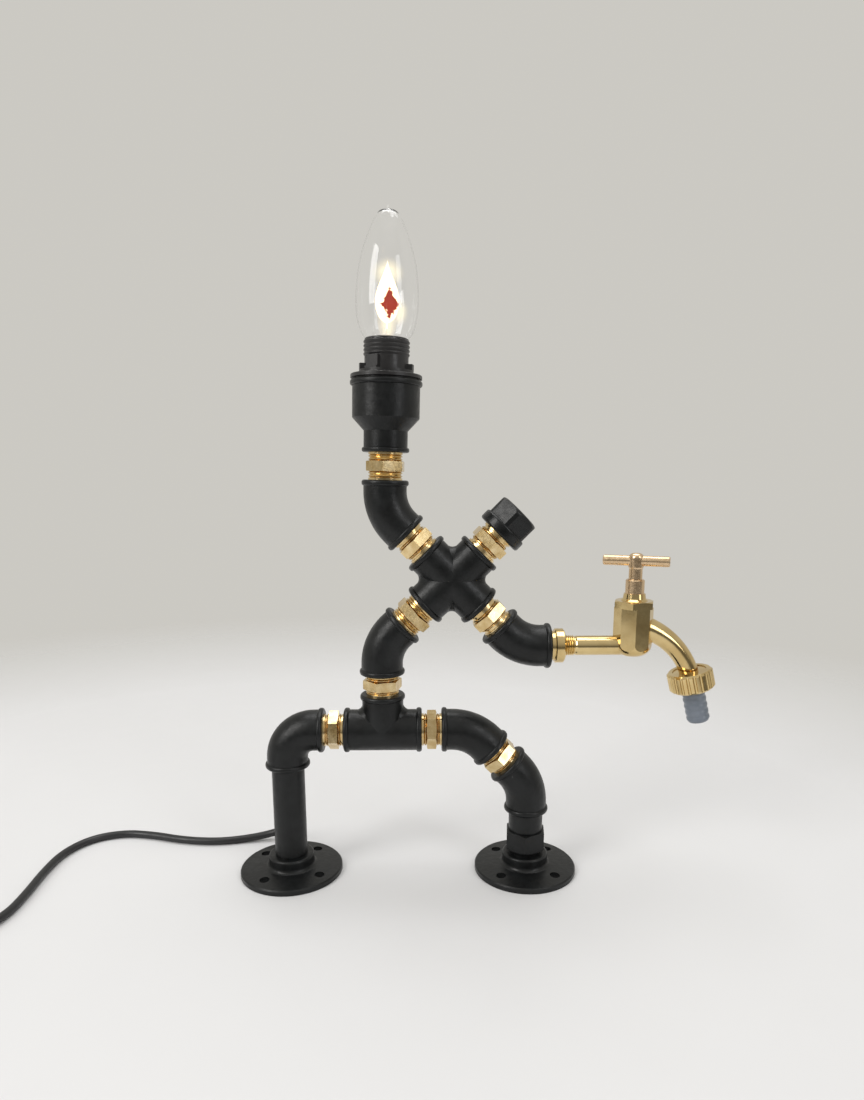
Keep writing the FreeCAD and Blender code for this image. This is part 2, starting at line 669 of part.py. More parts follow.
def screw_shell():
    """The brass thread of the lampholder."""
    outer = [(SHELL_OD, CONTACT_SEAT), (SHELL_OD, SHELL_TOP)]
    inner = [(SHELL_BORE, SHELL_TOP), (SHELL_BORE, CONTACT_SEAT + 1), (SHELL_OD - 4, CONTACT_SEAT + 1),
             (SHELL_OD - 4, CONTACT_SEAT)]
    return placed(turned(outer + inner), holder_level, HEAD)


def centre_contact():
    """The brass tongue under the bulb, with its rivet through the insert's floor."""
    top = BULB_CONTACT_LOW - 0.25
    tongue = cylinder(7.4, CONTACT_SEAT, CONTACT_SEAT + 0.6)
    button = turned([(0, CONTACT_SEAT), (5.0, CONTACT_SEAT), (2.6, top), (0, top)])
    rivet = cylinder(CORD_OD - 0.1, CONTACT_SEAT - 3, CONTACT_SEAT + 0.3)
    return placed(fused([tongue, button, rivet]), holder_level, HEAD)


def bulb_profile(offset):
    """The candle bulb's outline from its neck to its tip, offset inwards."""
    neck_top = BULB_SKIRT_TOP + 1
    tip = BULB_TIP - offset
    steps = 6
    points = []
    for i in range(steps + 1):
        rise = 0.5 - 0.5 * math.cos(math.pi * i / steps)
        radius = BULB_NECK + (BULB_WIDEST - BULB_NECK) * rise - offset
        points.append(Vector(radius, 0, neck_top + (BULB_BELLY - neck_top) * i / steps))
    for i in range(1, steps):
        t = math.sin(math.pi / 2 * i / steps)
        radius = (BULB_WIDEST - offset) * (1 - t * t) ** TIP_BLUNTNESS
        points.append(Vector(radius, 0, BULB_BELLY + (tip - BULB_BELLY) * t))
    points.append(Vector(0, 0, tip))
    curve = Part.BSplineCurve()
    curve.interpolate(Points=points, InitialTangent=Vector(0, 0, 1), FinalTangent=Vector(-1, 0, 0))
    return curve.toShape()


def bulb_form(offset, low):
    """The solid inside the outline, from the neck's open end."""
    curve = bulb_profile(offset)
    start = curve.valueAt(curve.FirstParameter)
    foot = Vector(start.x, 0, low)
    edges = [Part.LineSegment(Vector(0, 0, low), foot).toShape(), Part.LineSegment(foot, start).toShape(),
             curve, Part.LineSegment(Vector(0, 0, BULB_TIP - offset), Vector(0, 0, low)).toShape()]
    return Part.Face(Part.Wire(edges)).revolve(ORIGIN, Z, 360)


def bulb_glass():
    glass = bulb_form(0, BULB_NECK_LOW).cut(bulb_form(GLASS_WALL, BULB_NECK_LOW - 1))
    return placed(glass, holder_level, HEAD)


STEM_OD = 2 * (BULB_NECK - GLASS_WALL)


def bulb_stem():
    """The glass stem that closes the neck and carries the two plates."""
    low = BULB_NECK_LOW
    shape = turned([(0, low), (STEM_OD, low), (STEM_OD, low + 1.2), (7.5, low + 3), (6.5, low + 9),
                    (4.6, FLAME_LOW - 3), (0, FLAME_LOW - 3)])
    return placed(shape, holder_level, HEAD)


def flame_plate(side):
    """One flame-shaped plate with its lead wire."""
    tip = Vector(0, 0, FLAME_LOW + FLAME_HEIGHT)
    foot = Vector(0, 0, FLAME_LOW)
    wide = FLAME_LOW + 0.36 * FLAME_HEIGHT
    curve = []
    for sign in (1, -1):
        spline = Part.BSplineCurve()
        half = sign * FLAME_WIDTH / 2
        middle = [Vector(half * 0.7, 0, FLAME_LOW + 0.12 * FLAME_HEIGHT), Vector(half, 0, wide),
                  Vector(half * 0.55, 0, FLAME_LOW + 0.7 * FLAME_HEIGHT)]
        spline.interpolate([foot] + middle + [tip])
        curve.append(spline.toShape())
    plate = Part.Face(Part.Wire(curve)).extrude(Vector(0, FLAME_THICK, 0))
    plate.translate(Vector(0, side * FLAME_SPACE / 2 - FLAME_THICK / 2, 0))
    wire = cylinder(1.0, FLAME_LOW - 3, FLAME_LOW + 2)
    wire.translate(Vector(0, side * (FLAME_SPACE / 2 - 0.3), 0))
    return plate.fuse(wire)


def flame_plates():
    return placed(Part.makeCompound([flame_plate(-1), flame_plate(1)]), holder_level, HEAD)


def bulb_cap():
    """The bulb's brass screw cap."""
    root = BULB_CAP_OD - 1.0
    top = BULB_CAP_LOW + BULB_CAP_TURNS * BULB_CAP_PITCH
    outer = ridges(BULB_CAP_LOW, BULB_CAP_PITCH, BULB_CAP_TURNS, BULB_CAP_OD, root)
    outer += [(root, top + 2), (BULB_SKIRT_OD, top + 5), (BULB_SKIRT_OD, BULB_SKIRT_TOP)]
    inner = [(2 * BULB_NECK + 0.6, BULB_SKIRT_TOP), (2 * BULB_NECK + 0.6, top + 5), (root - 0.8, top + 2),
             (root - 0.8, BULB_CAP_LOW)]
    return placed(turned(outer + inner), holder_level, HEAD)


def bulb_insulator():
    top = BULB_CAP_LOW
    shape = turned([(0, top - 2), (6, top - 2), (BULB_CAP_OD - 1.6, top), (0, top)])
    return placed(shape, holder_level, HEAD)


def bulb_contact():
    seat = BULB_CAP_LOW - 2
    shape = turned([(0, BULB_CONTACT_LOW), (3.4, BULB_CONTACT_LOW), (5.4, seat), (0, seat)])
    return placed(shape, holder_level, HEAD)


# ---------------------------------------------------------------- the tap
def tap_bush():
    """The brass ring that screws into the arm's elbow and takes the tap's inlet."""
    face = BUSH_STEP + BUSH_WIDTH
    bore = INLET_THREAD_OD + 2 * THREAD_PLAY
    shape = turned([(0, -SCREWED_IN), (THREAD_OD, -SCREWED_IN), (THREAD_OD, 0), (THREAD_ROOT, 0.6),
                    (THREAD_ROOT, BUSH_STEP), (BUSH_OD - 1, BUSH_STEP), (BUSH_OD, BUSH_STEP + 0.5),
                    (BUSH_OD, face - 0.8), (BUSH_OD - 1.6, face), (0, face)])
    shape = shape.cut(cylinder(bore, face - INLET_SCREWED_IN - 1, face + 1))
    return placed(shape.cut(cylinder(INLET_BORE, -SCREWED_IN - 1, face)), inlet, RIGHT)


THREAD_END = OUTLET_LENGTH - OUTLET_ABOVE
outlet = barrel + Z * SPOUT_START
spout_centre = outlet + way(SPOUT_SLOPE - 90) * SPOUT_RADIUS
outlet_end = spout_centre + way(SPOUT_END + 90) * SPOUT_RADIUS
OUTLET = way(SPOUT_END)


def spout_path():
    middle = spout_centre + way((SPOUT_SLOPE + SPOUT_END) / 2 + 90) * SPOUT_RADIUS
    return Part.Wire([Part.Arc(outlet, middle, outlet_end).toShape()])


def spout_diameter(share):
    """The spout's diameter at a share of its length, through its root, middle and tip."""
    root = SPOUT_OD * (1 - share) * (1 - 2 * share)
    return root + SPOUT_MIDDLE_OD * 4 * share * (1 - share) + SPOUT_TIP_OD * share * (2 * share - 1)


def spout_skin():
    """The tapering outside of the spout, through rings along its arc."""
    rings = []
    for i in range(SPOUT_RINGS + 1):
        share = i / SPOUT_RINGS
        slope = SPOUT_SLOPE + (SPOUT_END - SPOUT_SLOPE) * share
        centre = spout_centre + way(slope + 90) * SPOUT_RADIUS
        rings.append(Part.Wire(Part.Circle(centre, way(slope), spout_diameter(share) / 2).toShape()))
    return Part.makeLoft(rings, True, False)


def tap_body():
    """Barrel, inlet pipe with its round end and curved spout, cast in one piece."""
    block = prism(BARREL_FLATS, -BARREL_DROP, BARREL_RISE, BARREL_SIDES, BARREL_TURN)
    corner = BARREL_FLATS / math.cos(math.pi / BARREL_SIDES)
    block = block.common(round_edges(cylinder(corner, -BARREL_DROP, BARREL_RISE), BARREL_CUP, -BARREL_DROP))
    block.translate(barrel)
    face = BUSH_STEP + BUSH_WIDTH
    thread_end = face + INLET_RIDGES * INLET_THREAD_PITCH
    outline = [(0, face - INLET_SCREWED_IN), (INLET_THREAD_OD, face - INLET_SCREWED_IN),
               (INLET_THREAD_OD, face - 1)]
    outline += ridges(face - 0.2, INLET_THREAD_PITCH, INLET_RIDGES, INLET_THREAD_OD, INLET_THREAD_ROOT)
    outline += [(INLET_THREAD_ROOT, thread_end + 0.4), (INLET_OD, thread_end + 1.2),
                (INLET_OD, BARREL_X + INLET_PAST), (0, BARREL_X + INLET_PAST)]
    pipe = turned(outline).fuse(Part.makeSphere(INLET_OD / 2, Z * (BARREL_X + INLET_PAST)))
    pipe = placed(pipe, inlet, RIGHT)
    thread = placed(cylinder(OUTLET_THREAD_OD, -OUTLET_ABOVE, THREAD_END), outlet_end, OUTLET)
    whole = fused([block, pipe, spout_skin(), thread])
    hollow = [cylinder(CHAMBER, SEAT_HEIGHT, BARREL_RISE + 1),
              cylinder(SEAT_BORE, -SEAT_BORE / 2, SEAT_HEIGHT + 1)]
    hollow = [placed(h, barrel, Z) for h in hollow]
    hollow.append(placed(cylinder(INLET_BORE, 0, BARREL_X), inlet, RIGHT))
    hollow.append(rod(spout_path(), SPOUT_BORE))
    hollow.append(placed(cylinder(SPOUT_BORE, 0, OUTLET_LENGTH), outlet_end, OUTLET))
    return whole.cut(fused(hollow))


THREAD_SPACE = BARREL_RISE + BONNET_HEIGHT - 2.0
NECK_TOP = BARREL_RISE + BONNET_HEIGHT + BONNET_NECK
SPINDLE_FOOT = SEAT_HEIGHT + WASHER_HEIGHT + JUMPER_DISC + 0.2


def tap_bonnet():
    """The hexagonal head that closes the barrel and guides the spindle."""
    low = BARREL_RISE
    high = low + BONNET_HEIGHT
    corner = BONNET_HEX / math.cos(math.pi / 6)
    chamfer = turned([(0, low), (corner, low), (corner, high - 0.8), (BONNET_HEX - 0.6, high), (0, high)])
    body = turned([(0, low - BONNET_SPIGOT), (BONNET_SPIGOT_OD, low - BONNET_SPIGOT), (BONNET_SPIGOT_OD, low),
                   (BONNET_NECK_OD + 3, low), (BONNET_NECK_OD + 3, high), (BONNET_NECK_OD, high + 1.2),
                   (BONNET_NECK_OD - 1, NECK_TOP), (0, NECK_TOP)])
    body = body.fuse(prism(BONNET_HEX, low, high, 6, BONNET_TURN).common(chamfer))
    body = body.cut(cylinder(SPINDLE_THREAD_OD + 2 * SPINDLE_PLAY, low - BONNET_SPIGOT - 1, THREAD_SPACE))
    body = body.cut(cylinder(SPINDLE_OD + 2 * SPINDLE_PLAY, low, NECK_TOP + 1))
    body = body.cut(cylinder(GLAND_MALE_OD + 0.1, high, NECK_TOP + 1))
    return placed(body, barrel, Z)


def gland_nut():
    high = BARREL_RISE + GLAND_TOP
    low = NECK_TOP - GLAND_MALE
    shape = turned([(0, low), (GLAND_MALE_OD, low), (GLAND_MALE_OD, NECK_TOP), (GLAND_OD, NECK_TOP),
                    (GLAND_OD, high - 0.7), (GLAND_OD - 1.2, high), (0, high)])
    return placed(shape.cut(cylinder(SPINDLE_OD + 2 * SPINDLE_PLAY, 0, high + 1)), barrel, Z)


def gland_packing():
    low = BARREL_RISE + BONNET_HEIGHT
    high = NECK_TOP - GLAND_MALE
    return placed(tube(GLAND_MALE_OD, SPINDLE_OD + 2 * SPINDLE_PLAY, low, high), barrel, Z)


def spindle():
    """The spindle with the boss that the T-bar goes through."""
    bar = BARREL_RISE + BOSS_HEIGHT
    high = bar + BOSS_RISE
    shoulder = THREAD_SPACE - VALVE_LIFT - 0.2
    shape = turned([(0, SPINDLE_FOOT), (SPINDLE_THREAD_OD, SPINDLE_FOOT), (SPINDLE_THREAD_OD, shoulder),
                    (SPINDLE_OD, shoulder), (SPINDLE_OD, bar - BOSS_RISE), (BOSS_OD, bar - BOSS_RISE + 1),
                    (BOSS_OD, high), (0, high)])
    shape = round_edges(shape, BOSS_OD / 2 - 1.6, high)
    stem_top = SPINDLE_FOOT + JUMPER_STEM + 0.2
    stem_hole = cylinder(JUMPER_STEM_OD + 2 * SPINDLE_PLAY, SPINDLE_FOOT - 1, stem_top)
    cross_hole = placed(cylinder(BAR_OD + 0.04, -BOSS_OD, BOSS_OD), Z * bar, RIGHT)
    shape = shape.cut(stem_hole).cut(cross_hole)
    shape.rotate(ORIGIN, Z, BAR_TURN)
    return placed(shape, barrel, Z)


def handle_bar():
    """The T-bar."""
    half = BAR_LENGTH / 2
    shape = turned([(0, -half), (BAR_OD - 1.2, -half), (BAR_OD, 0.6 - half), (BAR_OD, half - 0.6),
                    (BAR_OD - 1.2, half), (0, half)])
    shape = placed(shape, Z * (BARREL_RISE + BOSS_HEIGHT), RIGHT)
    shape.rotate(ORIGIN, Z, BAR_TURN)
    return placed(shape, barrel, Z)


def jumper_valve():
    low = SEAT_HEIGHT + WASHER_HEIGHT
    disc = cylinder(JUMPER_OD, low, low + JUMPER_DISC)
    return placed(disc.fuse(cylinder(JUMPER_STEM_OD, low, low + JUMPER_DISC + JUMPER_STEM)), barrel, Z)


def valve_washer():
    return placed(cylinder(JUMPER_OD, SEAT_HEIGHT + 0.02, SEAT_HEIGHT + WASHER_HEIGHT), barrel, Z)


TAIL_FLANGE_LOW = THREAD_END + HOSE_WASHER
LIP_LOW = TAIL_FLANGE_LOW + TAIL_FLANGE + 0.05
NUT_END = LIP_LOW + NUT_LIP


def union_nut():
    """The ribbed nut that holds the hose tail to the spout."""
    bevel = NUT_OD - 2 * NUT_CHAMFER
    shape = turned([(0, -NUT_ABOVE), (bevel, -NUT_ABOVE), (NUT_OD, NUT_CHAMFER - NUT_ABOVE),
                    (NUT_OD, NUT_END - NUT_CHAMFER), (bevel, NUT_END), (0, NUT_END)])
    groove = math.pi * NUT_OD / NUT_RIBS / 4
    cutters = []
    for i in range(NUT_RIBS):
        cutter = cylinder(2 * groove, -NUT_ABOVE - 1, NUT_END + 1)
        cutter.translate(Vector(NUT_OD / 2 + groove - NUT_RIB_DEPTH, 0, 0))
        cutter.rotate(ORIGIN, Z, 360.0 * i / NUT_RIBS)
        cutters.append(cutter)
    shape = shape.cut(cutters)
    shape = shape.cut(cylinder(OUTLET_THREAD_OD + 2 * NUT_PLAY, -NUT_ABOVE - 1, LIP_LOW))
    shape = shape.cut(cylinder(TAIL_OD + 4 * NUT_PLAY, 0, NUT_END + 1))
    return placed(shape, outlet_end, OUTLET)


def hose_tail():
    """The barbed plastic tail."""
    start = NUT_END + 0.8
    step = (TAIL_END - start) / TAIL_BARBS
    outline = [(0, TAIL_FLANGE_LOW), (TAIL_FLANGE_OD, TAIL_FLANGE_LOW), (TAIL_FLANGE_OD, LIP_LOW - 0.05),
               (TAIL_OD - 0.4, LIP_LOW - 0.05), (TAIL_OD - 0.4, start)]
    for i in range(TAIL_BARBS):
        low = start + i * step
        outline += [(TAIL_OD, low + 0.35 * step), (TAIL_OD, low + 0.6 * step), (TAIL_ROOT, low + step)]
    outline[-1] = (TAIL_ROOT - 1, TAIL_END)
    outline.append((0, TAIL_END))
    shape = turned(outline).cut(cylinder(TAIL_BORE, 0, TAIL_END + 1))
    return placed(shape, outlet_end, OUTLET)


def hose_washer():
    shape = tube(TAIL_FLANGE_OD, SPOUT_BORE, THREAD_END + 0.02, TAIL_FLANGE_LOW)
    return placed(shape, outlet_end, OUTLET)


# ---------------------------------------------------------------- flex inside the pipes
def flex(points, radii):
    return rod(rounded_path(points, radii), CORD_OD)


FLEX_GAP = 0.3
FLEX_RADII = [7.0, 18.0, 12.0, 25.0, 9.0]
upper_face = upper_centre - UPPER * BEND_REACH


def flex_in_frame():
    """The flex from the hole in the left leg up to the head's swivelling thread."""
    points = [Vector(0, LEG_BACK, CORD_EXIT), Vector(0, 0, CORD_EXIT), corner_centre, tee_centre,
              back_centre, cross_centre, upper_face]
    return flex(points, FLEX_RADII)


def flex_in_head():
    """The flex from the swivelling thread to the lampholder."""
    points = [upper_face + UPPER * FLEX_GAP, upper_centre, holder_level + HEAD * INSERT_LOW]
    return flex(points, [25.0])


def cable_grommet():
    """The rubber bush in the left leg's back."""
    bush = cylinder(CORD_HOLE - 0.1, PIPE_BORE / 2 - 1.5, PIPE_OD / 2 + 0.5)
    collar = cylinder(GROMMET_OD, PIPE_BORE / 2 - 1.5, LEG_BACK)
    collar = round_edges(collar, 0.6, LEG_BACK)
    shape = placed(bush, Vector(0, 0, CORD_EXIT), Y)
    collar = placed(collar, Vector(0, 0, CORD_EXIT), Y).cut(cylinder(PIPE_OD, 0, 2 * CORD_EXIT))
    sleeve = turned([(0, LEG_BACK - 1), (GROMMET_TAIL_OD, LEG_BACK - 1), (GROMMET_TAIL_OD, LEG_BACK),
                     (SLEEVE_END_OD, LEG_BACK + GROMMET_TAIL), (0, LEG_BACK + GROMMET_TAIL)])
    sleeve = placed(sleeve, Vector(0, 0, CORD_EXIT), Y)
    hole = placed(cylinder(CORD_OD + 0.04, 0, LEG_BACK + GROMMET_TAIL + 1), Vector(0, 0, CORD_EXIT), Y)
    return fused([shape, collar, sleeve]).cut(hole)


# ---------------------------------------------------------------- the free lead
def coil_slot(angle):
    """A place in the bundle's section at the coil's left side, angle degrees above its outer edge."""
    a = math.radians(angle)
    reach = COIL_MEAN / 2 + COIL_SLOT_RING * math.cos(a)
    return COIL_CENTRE + Vector(-reach, 0, ON_TABLE + COIL_SLOT_RING * (1 + math.sin(a)))


switch_in = Vector(*LEAD_TO_SWITCH[-1])
switch_way = (switch_in - Vector(*LEAD_TO_SWITCH[-2])).normalize()
switch_turn = math.degrees(math.atan2(switch_way.y, switch_way.x))
switch_out = switch_in + switch_way * SWITCH_LENGTH
coil_entry = coil_slot(COIL_ENTRY)
coil_exit = coil_slot(0)
switch_tail = switch_out + switch_way * SWITCH_TAIL
LEAD_TO_COIL = [
    tuple(switch_out), tuple(switch_tail), (-291.5, -89.2, 5.6), (-301.9, -74, 3.0),
    (-303.2, -56, 3.4), tuple(coil_entry),
]
LEAD_TO_PLUG = [tuple(coil_exit), (-305.0, -27, 8.2), (-303.4, -17, AT_PLUG), (-301.2, -8, AT_PLUG)]
plug_in = Vector(*LEAD_TO_PLUG[-1])
plug_way = (plug_in - Vector(*LEAD_TO_PLUG[-2])).normalize()
plug_turn = math.degrees(math.atan2(plug_way.y, plug_way.x))


def lead(points):
    """A free stretch of the cord, with the largest arcs that its runs allow."""
    radii = run_radii(points)
    path = rounded_path(points, radii)
    shape = rod(path, CORD_OD)
    share = shape.Volume / (math.pi * CORD_OD ** 2 / 4 * path.Length)
    print("lead: length %.1f, volume against section %.4f, radii" % (path.Length, share),
          ["%.1f" % r for r in radii])
    return shape


def coil_form(grow):
    """The ring of turns, as a solid of their outer shape."""
    middle = Vector(COIL_MEAN / 2, 0, ON_TABLE + COIL_SLOT_RING)
    section = Part.Circle(middle, Y, COIL_SLOT_RING + CORD_OD / 2 + grow)
    return Part.Face(Part.Wire(section.toShape()))


def cord_coil():
    shape = coil_form(0).revolve(ORIGIN, Z, 360)
    shape.translate(COIL_CENTRE)
    return shape


def cord_tie():
    """The strap round the bundle of turns, open where the bundle lies on the table."""
    spread = math.degrees(TIE_WIDTH / (COIL_MEAN / 2))
    strap = coil_form(TIE_THICK).revolve(ORIGIN, Z, spread).cut(coil_form(0).revolve(ORIGIN, Z, 360))
    strap.rotate(ORIGIN, Z, TIE_AT - spread / 2)
    strap.translate(COIL_CENTRE)
    below = Part.makeBox(4 * COIL_MEAN, 4 * COIL_MEAN, 2 * TIE_THICK,
                         COIL_CENTRE + Vector(-2 * COIL_MEAN, -2 * COIL_MEAN, TIE_LIFT - 2 * TIE_THICK))
    return strap.cut(below)


def rounded_block(length, width, low, high, corner, edge=0.0, edge_height=None):
    """A block along +X from x = 0, with round corners in plan and one rounded rim."""
    plan = Part.makeBox(length, width, high - low, Vector(0, -width / 2, low))
    upright = [e for e in plan.Edges if e.BoundBox.ZLength > (high - low) / 2]
    plan = plan.makeFillet(corner, upright)
    if edge:
        flat = [e for e in plan.Edges if e.BoundBox.ZLength < 0.01]
        plan = plan.makeFillet(edge, [e for e in flat if abs(e.BoundBox.ZMin - edge_height) < 0.01])
    return plan


def laid(shape, point, turn):
    """Moves a shape that lies along +X on the table to start under point, turned about +Z."""
    moved = shape.copy()
    start = Placement(Vector(point.x, point.y, 0), Rotation(Z, turn))
    moved.Placement = start.multiply(moved.Placement)
    return moved


PARTING = SWITCH_HEIGHT / 2
rocker_low = ROCKER_PIVOT - ROCKER_BELOW


def on_switch(shape):
    return laid(shape, switch_in, switch_turn)


def hollow_block(low, high):
    """The room inside the switch."""
    inner = rounded_block(SWITCH_LENGTH - 2 * SWITCH_WALL, SWITCH_WIDTH - 2 * SWITCH_WALL, low, high,
                          SWITCH_CORNER - SWITCH_WALL / 2)
    inner.translate(Vector(SWITCH_WALL, 0, 0))
    return inner


def switch_lower_shell():
    shell = rounded_block(SWITCH_LENGTH, SWITCH_WIDTH, 0, PARTING, SWITCH_CORNER, SWITCH_RIM, 0)
    return on_switch(shell.cut(hollow_block(SWITCH_WALL, PARTING + 1)))


def switch_upper_shell():
    """The upper shell, with the rocker's opening and the two ears for its pins."""
    shell = rounded_block(SWITCH_LENGTH, SWITCH_WIDTH, PARTING, SWITCH_HEIGHT, SWITCH_CORNER,
                          SWITCH_RIM, SWITCH_HEIGHT)
    shell = shell.cut(hollow_block(PARTING - 1, SWITCH_HEIGHT - SWITCH_WALL))
    middle = SWITCH_LENGTH / 2
    opening_length = ROCKER_LENGTH + 2 * ROCKER_END_PLAY
    opening_width = ROCKER_WIDTH + 2 * ROCKER_PLAY
    shell = shell.cut(Part.makeBox(opening_length, opening_width, SWITCH_HEIGHT,
                                   Vector(middle - opening_length / 2, -opening_width / 2, PARTING)))
    for side in (-1, 1):
        y = side * (opening_width + EAR) / 2
        ear = Part.makeBox(6, EAR, SWITCH_HEIGHT - SWITCH_WALL / 2 - PARTING,
                           Vector(middle - 3, y - EAR / 2, PARTING))
        shell = shell.fuse(ear)
    pin = placed(cylinder(ROCKER_PIN_OD + 2 * ROCKER_PIN_PLAY, -SWITCH_WIDTH / 2 + SWITCH_WALL + 1,
                          SWITCH_WIDTH / 2 - SWITCH_WALL - 1), Vector(middle, 0, ROCKER_PIVOT), Y)
    return on_switch(shell.removeSplitter().cut(pin))


def switch_rocker():
    """The rocker with its two pins, tilted to its on position."""
    half = ROCKER_LENGTH / 2
    dip = half * math.tan(math.radians(ROCKER_TILT))
    top = SWITCH_HEIGHT + ROCKER_PROUD - dip
    corners = [(-half, rocker_low + dip), (0, rocker_low), (half, rocker_low + dip),
               (half, top + dip * 0.6), (0, top - dip * 0.4), (-half, top + dip * 0.6)]
    side = [Vector(x, 0, z) for x, z in corners]
    body = Part.Face(Part.makePolygon(side + side[:1])).extrude(Vector(0, ROCKER_WIDTH, 0))
    body.translate(Vector(0, -ROCKER_WIDTH / 2, 0))
    reach = ROCKER_WIDTH / 2 + ROCKER_PLAY + EAR - 0.2
    pin = placed(cylinder(ROCKER_PIN_OD, -reach, reach), Vector(0, 0, ROCKER_PIVOT), Y)
    body = body.fuse(pin)
    body.rotate(Vector(0, 0, ROCKER_PIVOT), Y, ROCKER_TILT)
    body.translate(Vector(SWITCH_LENGTH / 2, 0, 0))
    return on_switch(body)


def on_plug(shape):
    return laid(shape, plug_in, plug_turn)


def plug_body():
    """The moulded plug body with its cord neck."""
    half = PLUG_WIDTH / 2
    cable = PLUG_CABLE_WIDTH / 2
    front = PLUG_NECK + PLUG_LENGTH
    plan = [Vector(PLUG_NECK, -cable, 0), Vector(front - PLUG_STRAIGHT, -half, 0), Vector(front, -half, 0),
            Vector(front, half, 0), Vector(front - PLUG_STRAIGHT, half, 0), Vector(PLUG_NECK, cable, 0)]
    body = Part.Face(Part.makePolygon(plan + plan[:1])).extrude(Vector(0, 0, PLUG_HEIGHT))
    body = body.makeFillet(PLUG_CORNER, body.Edges)
    neck = turned([(0, 0), (SLEEVE_END_OD, 0), (PLUG_NECK_OD, PLUG_NECK), (PLUG_NECK_OD, PLUG_NECK + 4),
                   (0, PLUG_NECK + 4)])
    body = body.fuse(placed(neck, Z * AT_PLUG, RIGHT))
    for side in (-1, 1):
        seat = placed(cylinder(PLUG_PIN_OD + 0.04, front - PLUG_PIN_SEAT, front + 1),
                      Vector(0, side * PLUG_PIN_SPACING / 2, AT_PLUG), RIGHT)
        body = body.cut(seat)
    return on_plug(body)


def plug_pins():
    front = PLUG_NECK + PLUG_LENGTH
    pins = []
    for side in (-1, 1):
        pin = cylinder(PLUG_PIN_OD, front - PLUG_PIN_SEAT, front + PLUG_PIN)
        pin = round_edges(pin, PLUG_PIN_ROUND, front + PLUG_PIN)
        pins.append(placed(pin, Vector(0, side * PLUG_PIN_SPACING / 2, AT_PLUG), RIGHT))
    return on_plug(Part.makeCompound(pins))


# ---------------------------------------------------------------- the assembly
parts = {
    "left_flange": floor_flange(ORIGIN, LEFT_HOLES_AT, PIPE_OD + 2 * THREAD_PLAY),
    "right_flange": floor_flange(right_foot, RIGHT_HOLES_AT, PORT_BORE),
    "left_leg_pipe": left_leg_pipe(),
    "cable_grommet": cable_grommet(),
    "corner_elbow": elbow(corner_centre, [Z * -1, RIGHT], ELBOW_REACH),
    "base_tee": branched(tee_centre, [LEFT, RIGHT, Z], [TEE_REACH, TEE_REACH, TEE_RISE]),
    "knee_elbow_upper": elbow(knee_upper_centre, [LEFT, KNEE], BEND_REACH),
    "knee_elbow_lower": elbow(knee_lower_centre, [KNEE * -1, Z * -1], BEND_REACH),
    "foot_nipple": foot_nipple(),
    "back_elbow": elbow(back_centre, [Z * -1, BACK_UP], BEND_REACH),
    "pipe_cross": branched(cross_centre, [BACK_UP * -1, UPPER, CAP, ARM], [CROSS_REACH] * 4),
    "upper_elbow": elbow(upper_centre, [UPPER * -1, HEAD], BEND_REACH),
    "arm_elbow": elbow(arm_centre, [ARM * -1, RIGHT], BEND_REACH),
    "reducing_socket": reducing_socket(),
    "end_cap": end_cap(),
    "base_run_nipple": nipple(corner_centre, RIGHT, ELBOW_REACH, ELBOW_TEE_GAP, 53),
    "knee_run_nipple": nipple(tee_centre, RIGHT, TEE_REACH, TEE_KNEE_GAP, 40),
    "knee_nipple": nipple(knee_upper_centre, KNEE, BEND_REACH, KNEE_GAP, 30),
    "back_lower_nipple": nipple(tee_centre, Z, TEE_RISE, TEE_BACK_GAP, 15),
    "back_upper_nipple": nipple(back_centre, BACK_UP, BEND_REACH, BACK_CROSS_GAP, 38),
    "upper_nipple": nipple(cross_centre, UPPER, CROSS_REACH, CROSS_UPPER_GAP, 35),
    "cap_nipple": nipple(cross_centre, CAP, CROSS_REACH, CROSS_CAP_GAP, 36),
    "arm_nipple": nipple(cross_centre, ARM, CROSS_REACH, CROSS_ARM_GAP, 30),
    "head_nipple": nipple(upper_centre, HEAD, BEND_REACH, HEAD_GAP, 26),
    "holder_ring": holder_ring(),
    "holder_shell": holder_shell(),
    "holder_insert": holder_insert(),
    "holder_screw_shell": screw_shell(),
    "holder_contact": centre_contact(),
    "bulb_glass": bulb_glass(),
    "bulb_stem": bulb_stem(),
    "flame_plates": flame_plates(),
    "bulb_cap": bulb_cap(),
    "bulb_insulator": bulb_insulator(),
    "bulb_contact": bulb_contact(),
    "tap_bush": tap_bush(),
    "tap_body": tap_body(),
    "tap_bonnet": tap_bonnet(),
    "gland_nut": gland_nut(),
    "gland_packing": gland_packing(),
    "tap_spindle": spindle(),
    "handle_bar": handle_bar(),
    "jumper_valve": jumper_valve(),
    "valve_washer": valve_washer(),
    "union_nut": union_nut(),
    "hose_tail": hose_tail(),
    "hose_washer": hose_washer(),
    "frame_flex": flex_in_frame(),
    "head_flex": flex_in_head(),
    "lead_to_switch": lead(LEAD_TO_SWITCH),
    "lead_to_coil": lead(LEAD_TO_COIL),
    "lead_to_plug": lead(LEAD_TO_PLUG),
    "cord_coil": cord_coil(),
    "cord_tie": cord_tie(),
    "switch_lower_shell": switch_lower_shell(),
    "switch_upper_shell": switch_upper_shell(),
    "switch_rocker": switch_rocker(),
    "plug_body": plug_body(),
    "plug_pins": plug_pins(),
}

os.makedirs("parts", exist_ok=True)
for name, shape in parts.items():
    shape.exportStep("parts/" + name + ".step")
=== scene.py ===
import json
import math

import bmesh
import bpy
from mathutils import Matrix, Vector
from mathutils.geometry import interpolate_bezier


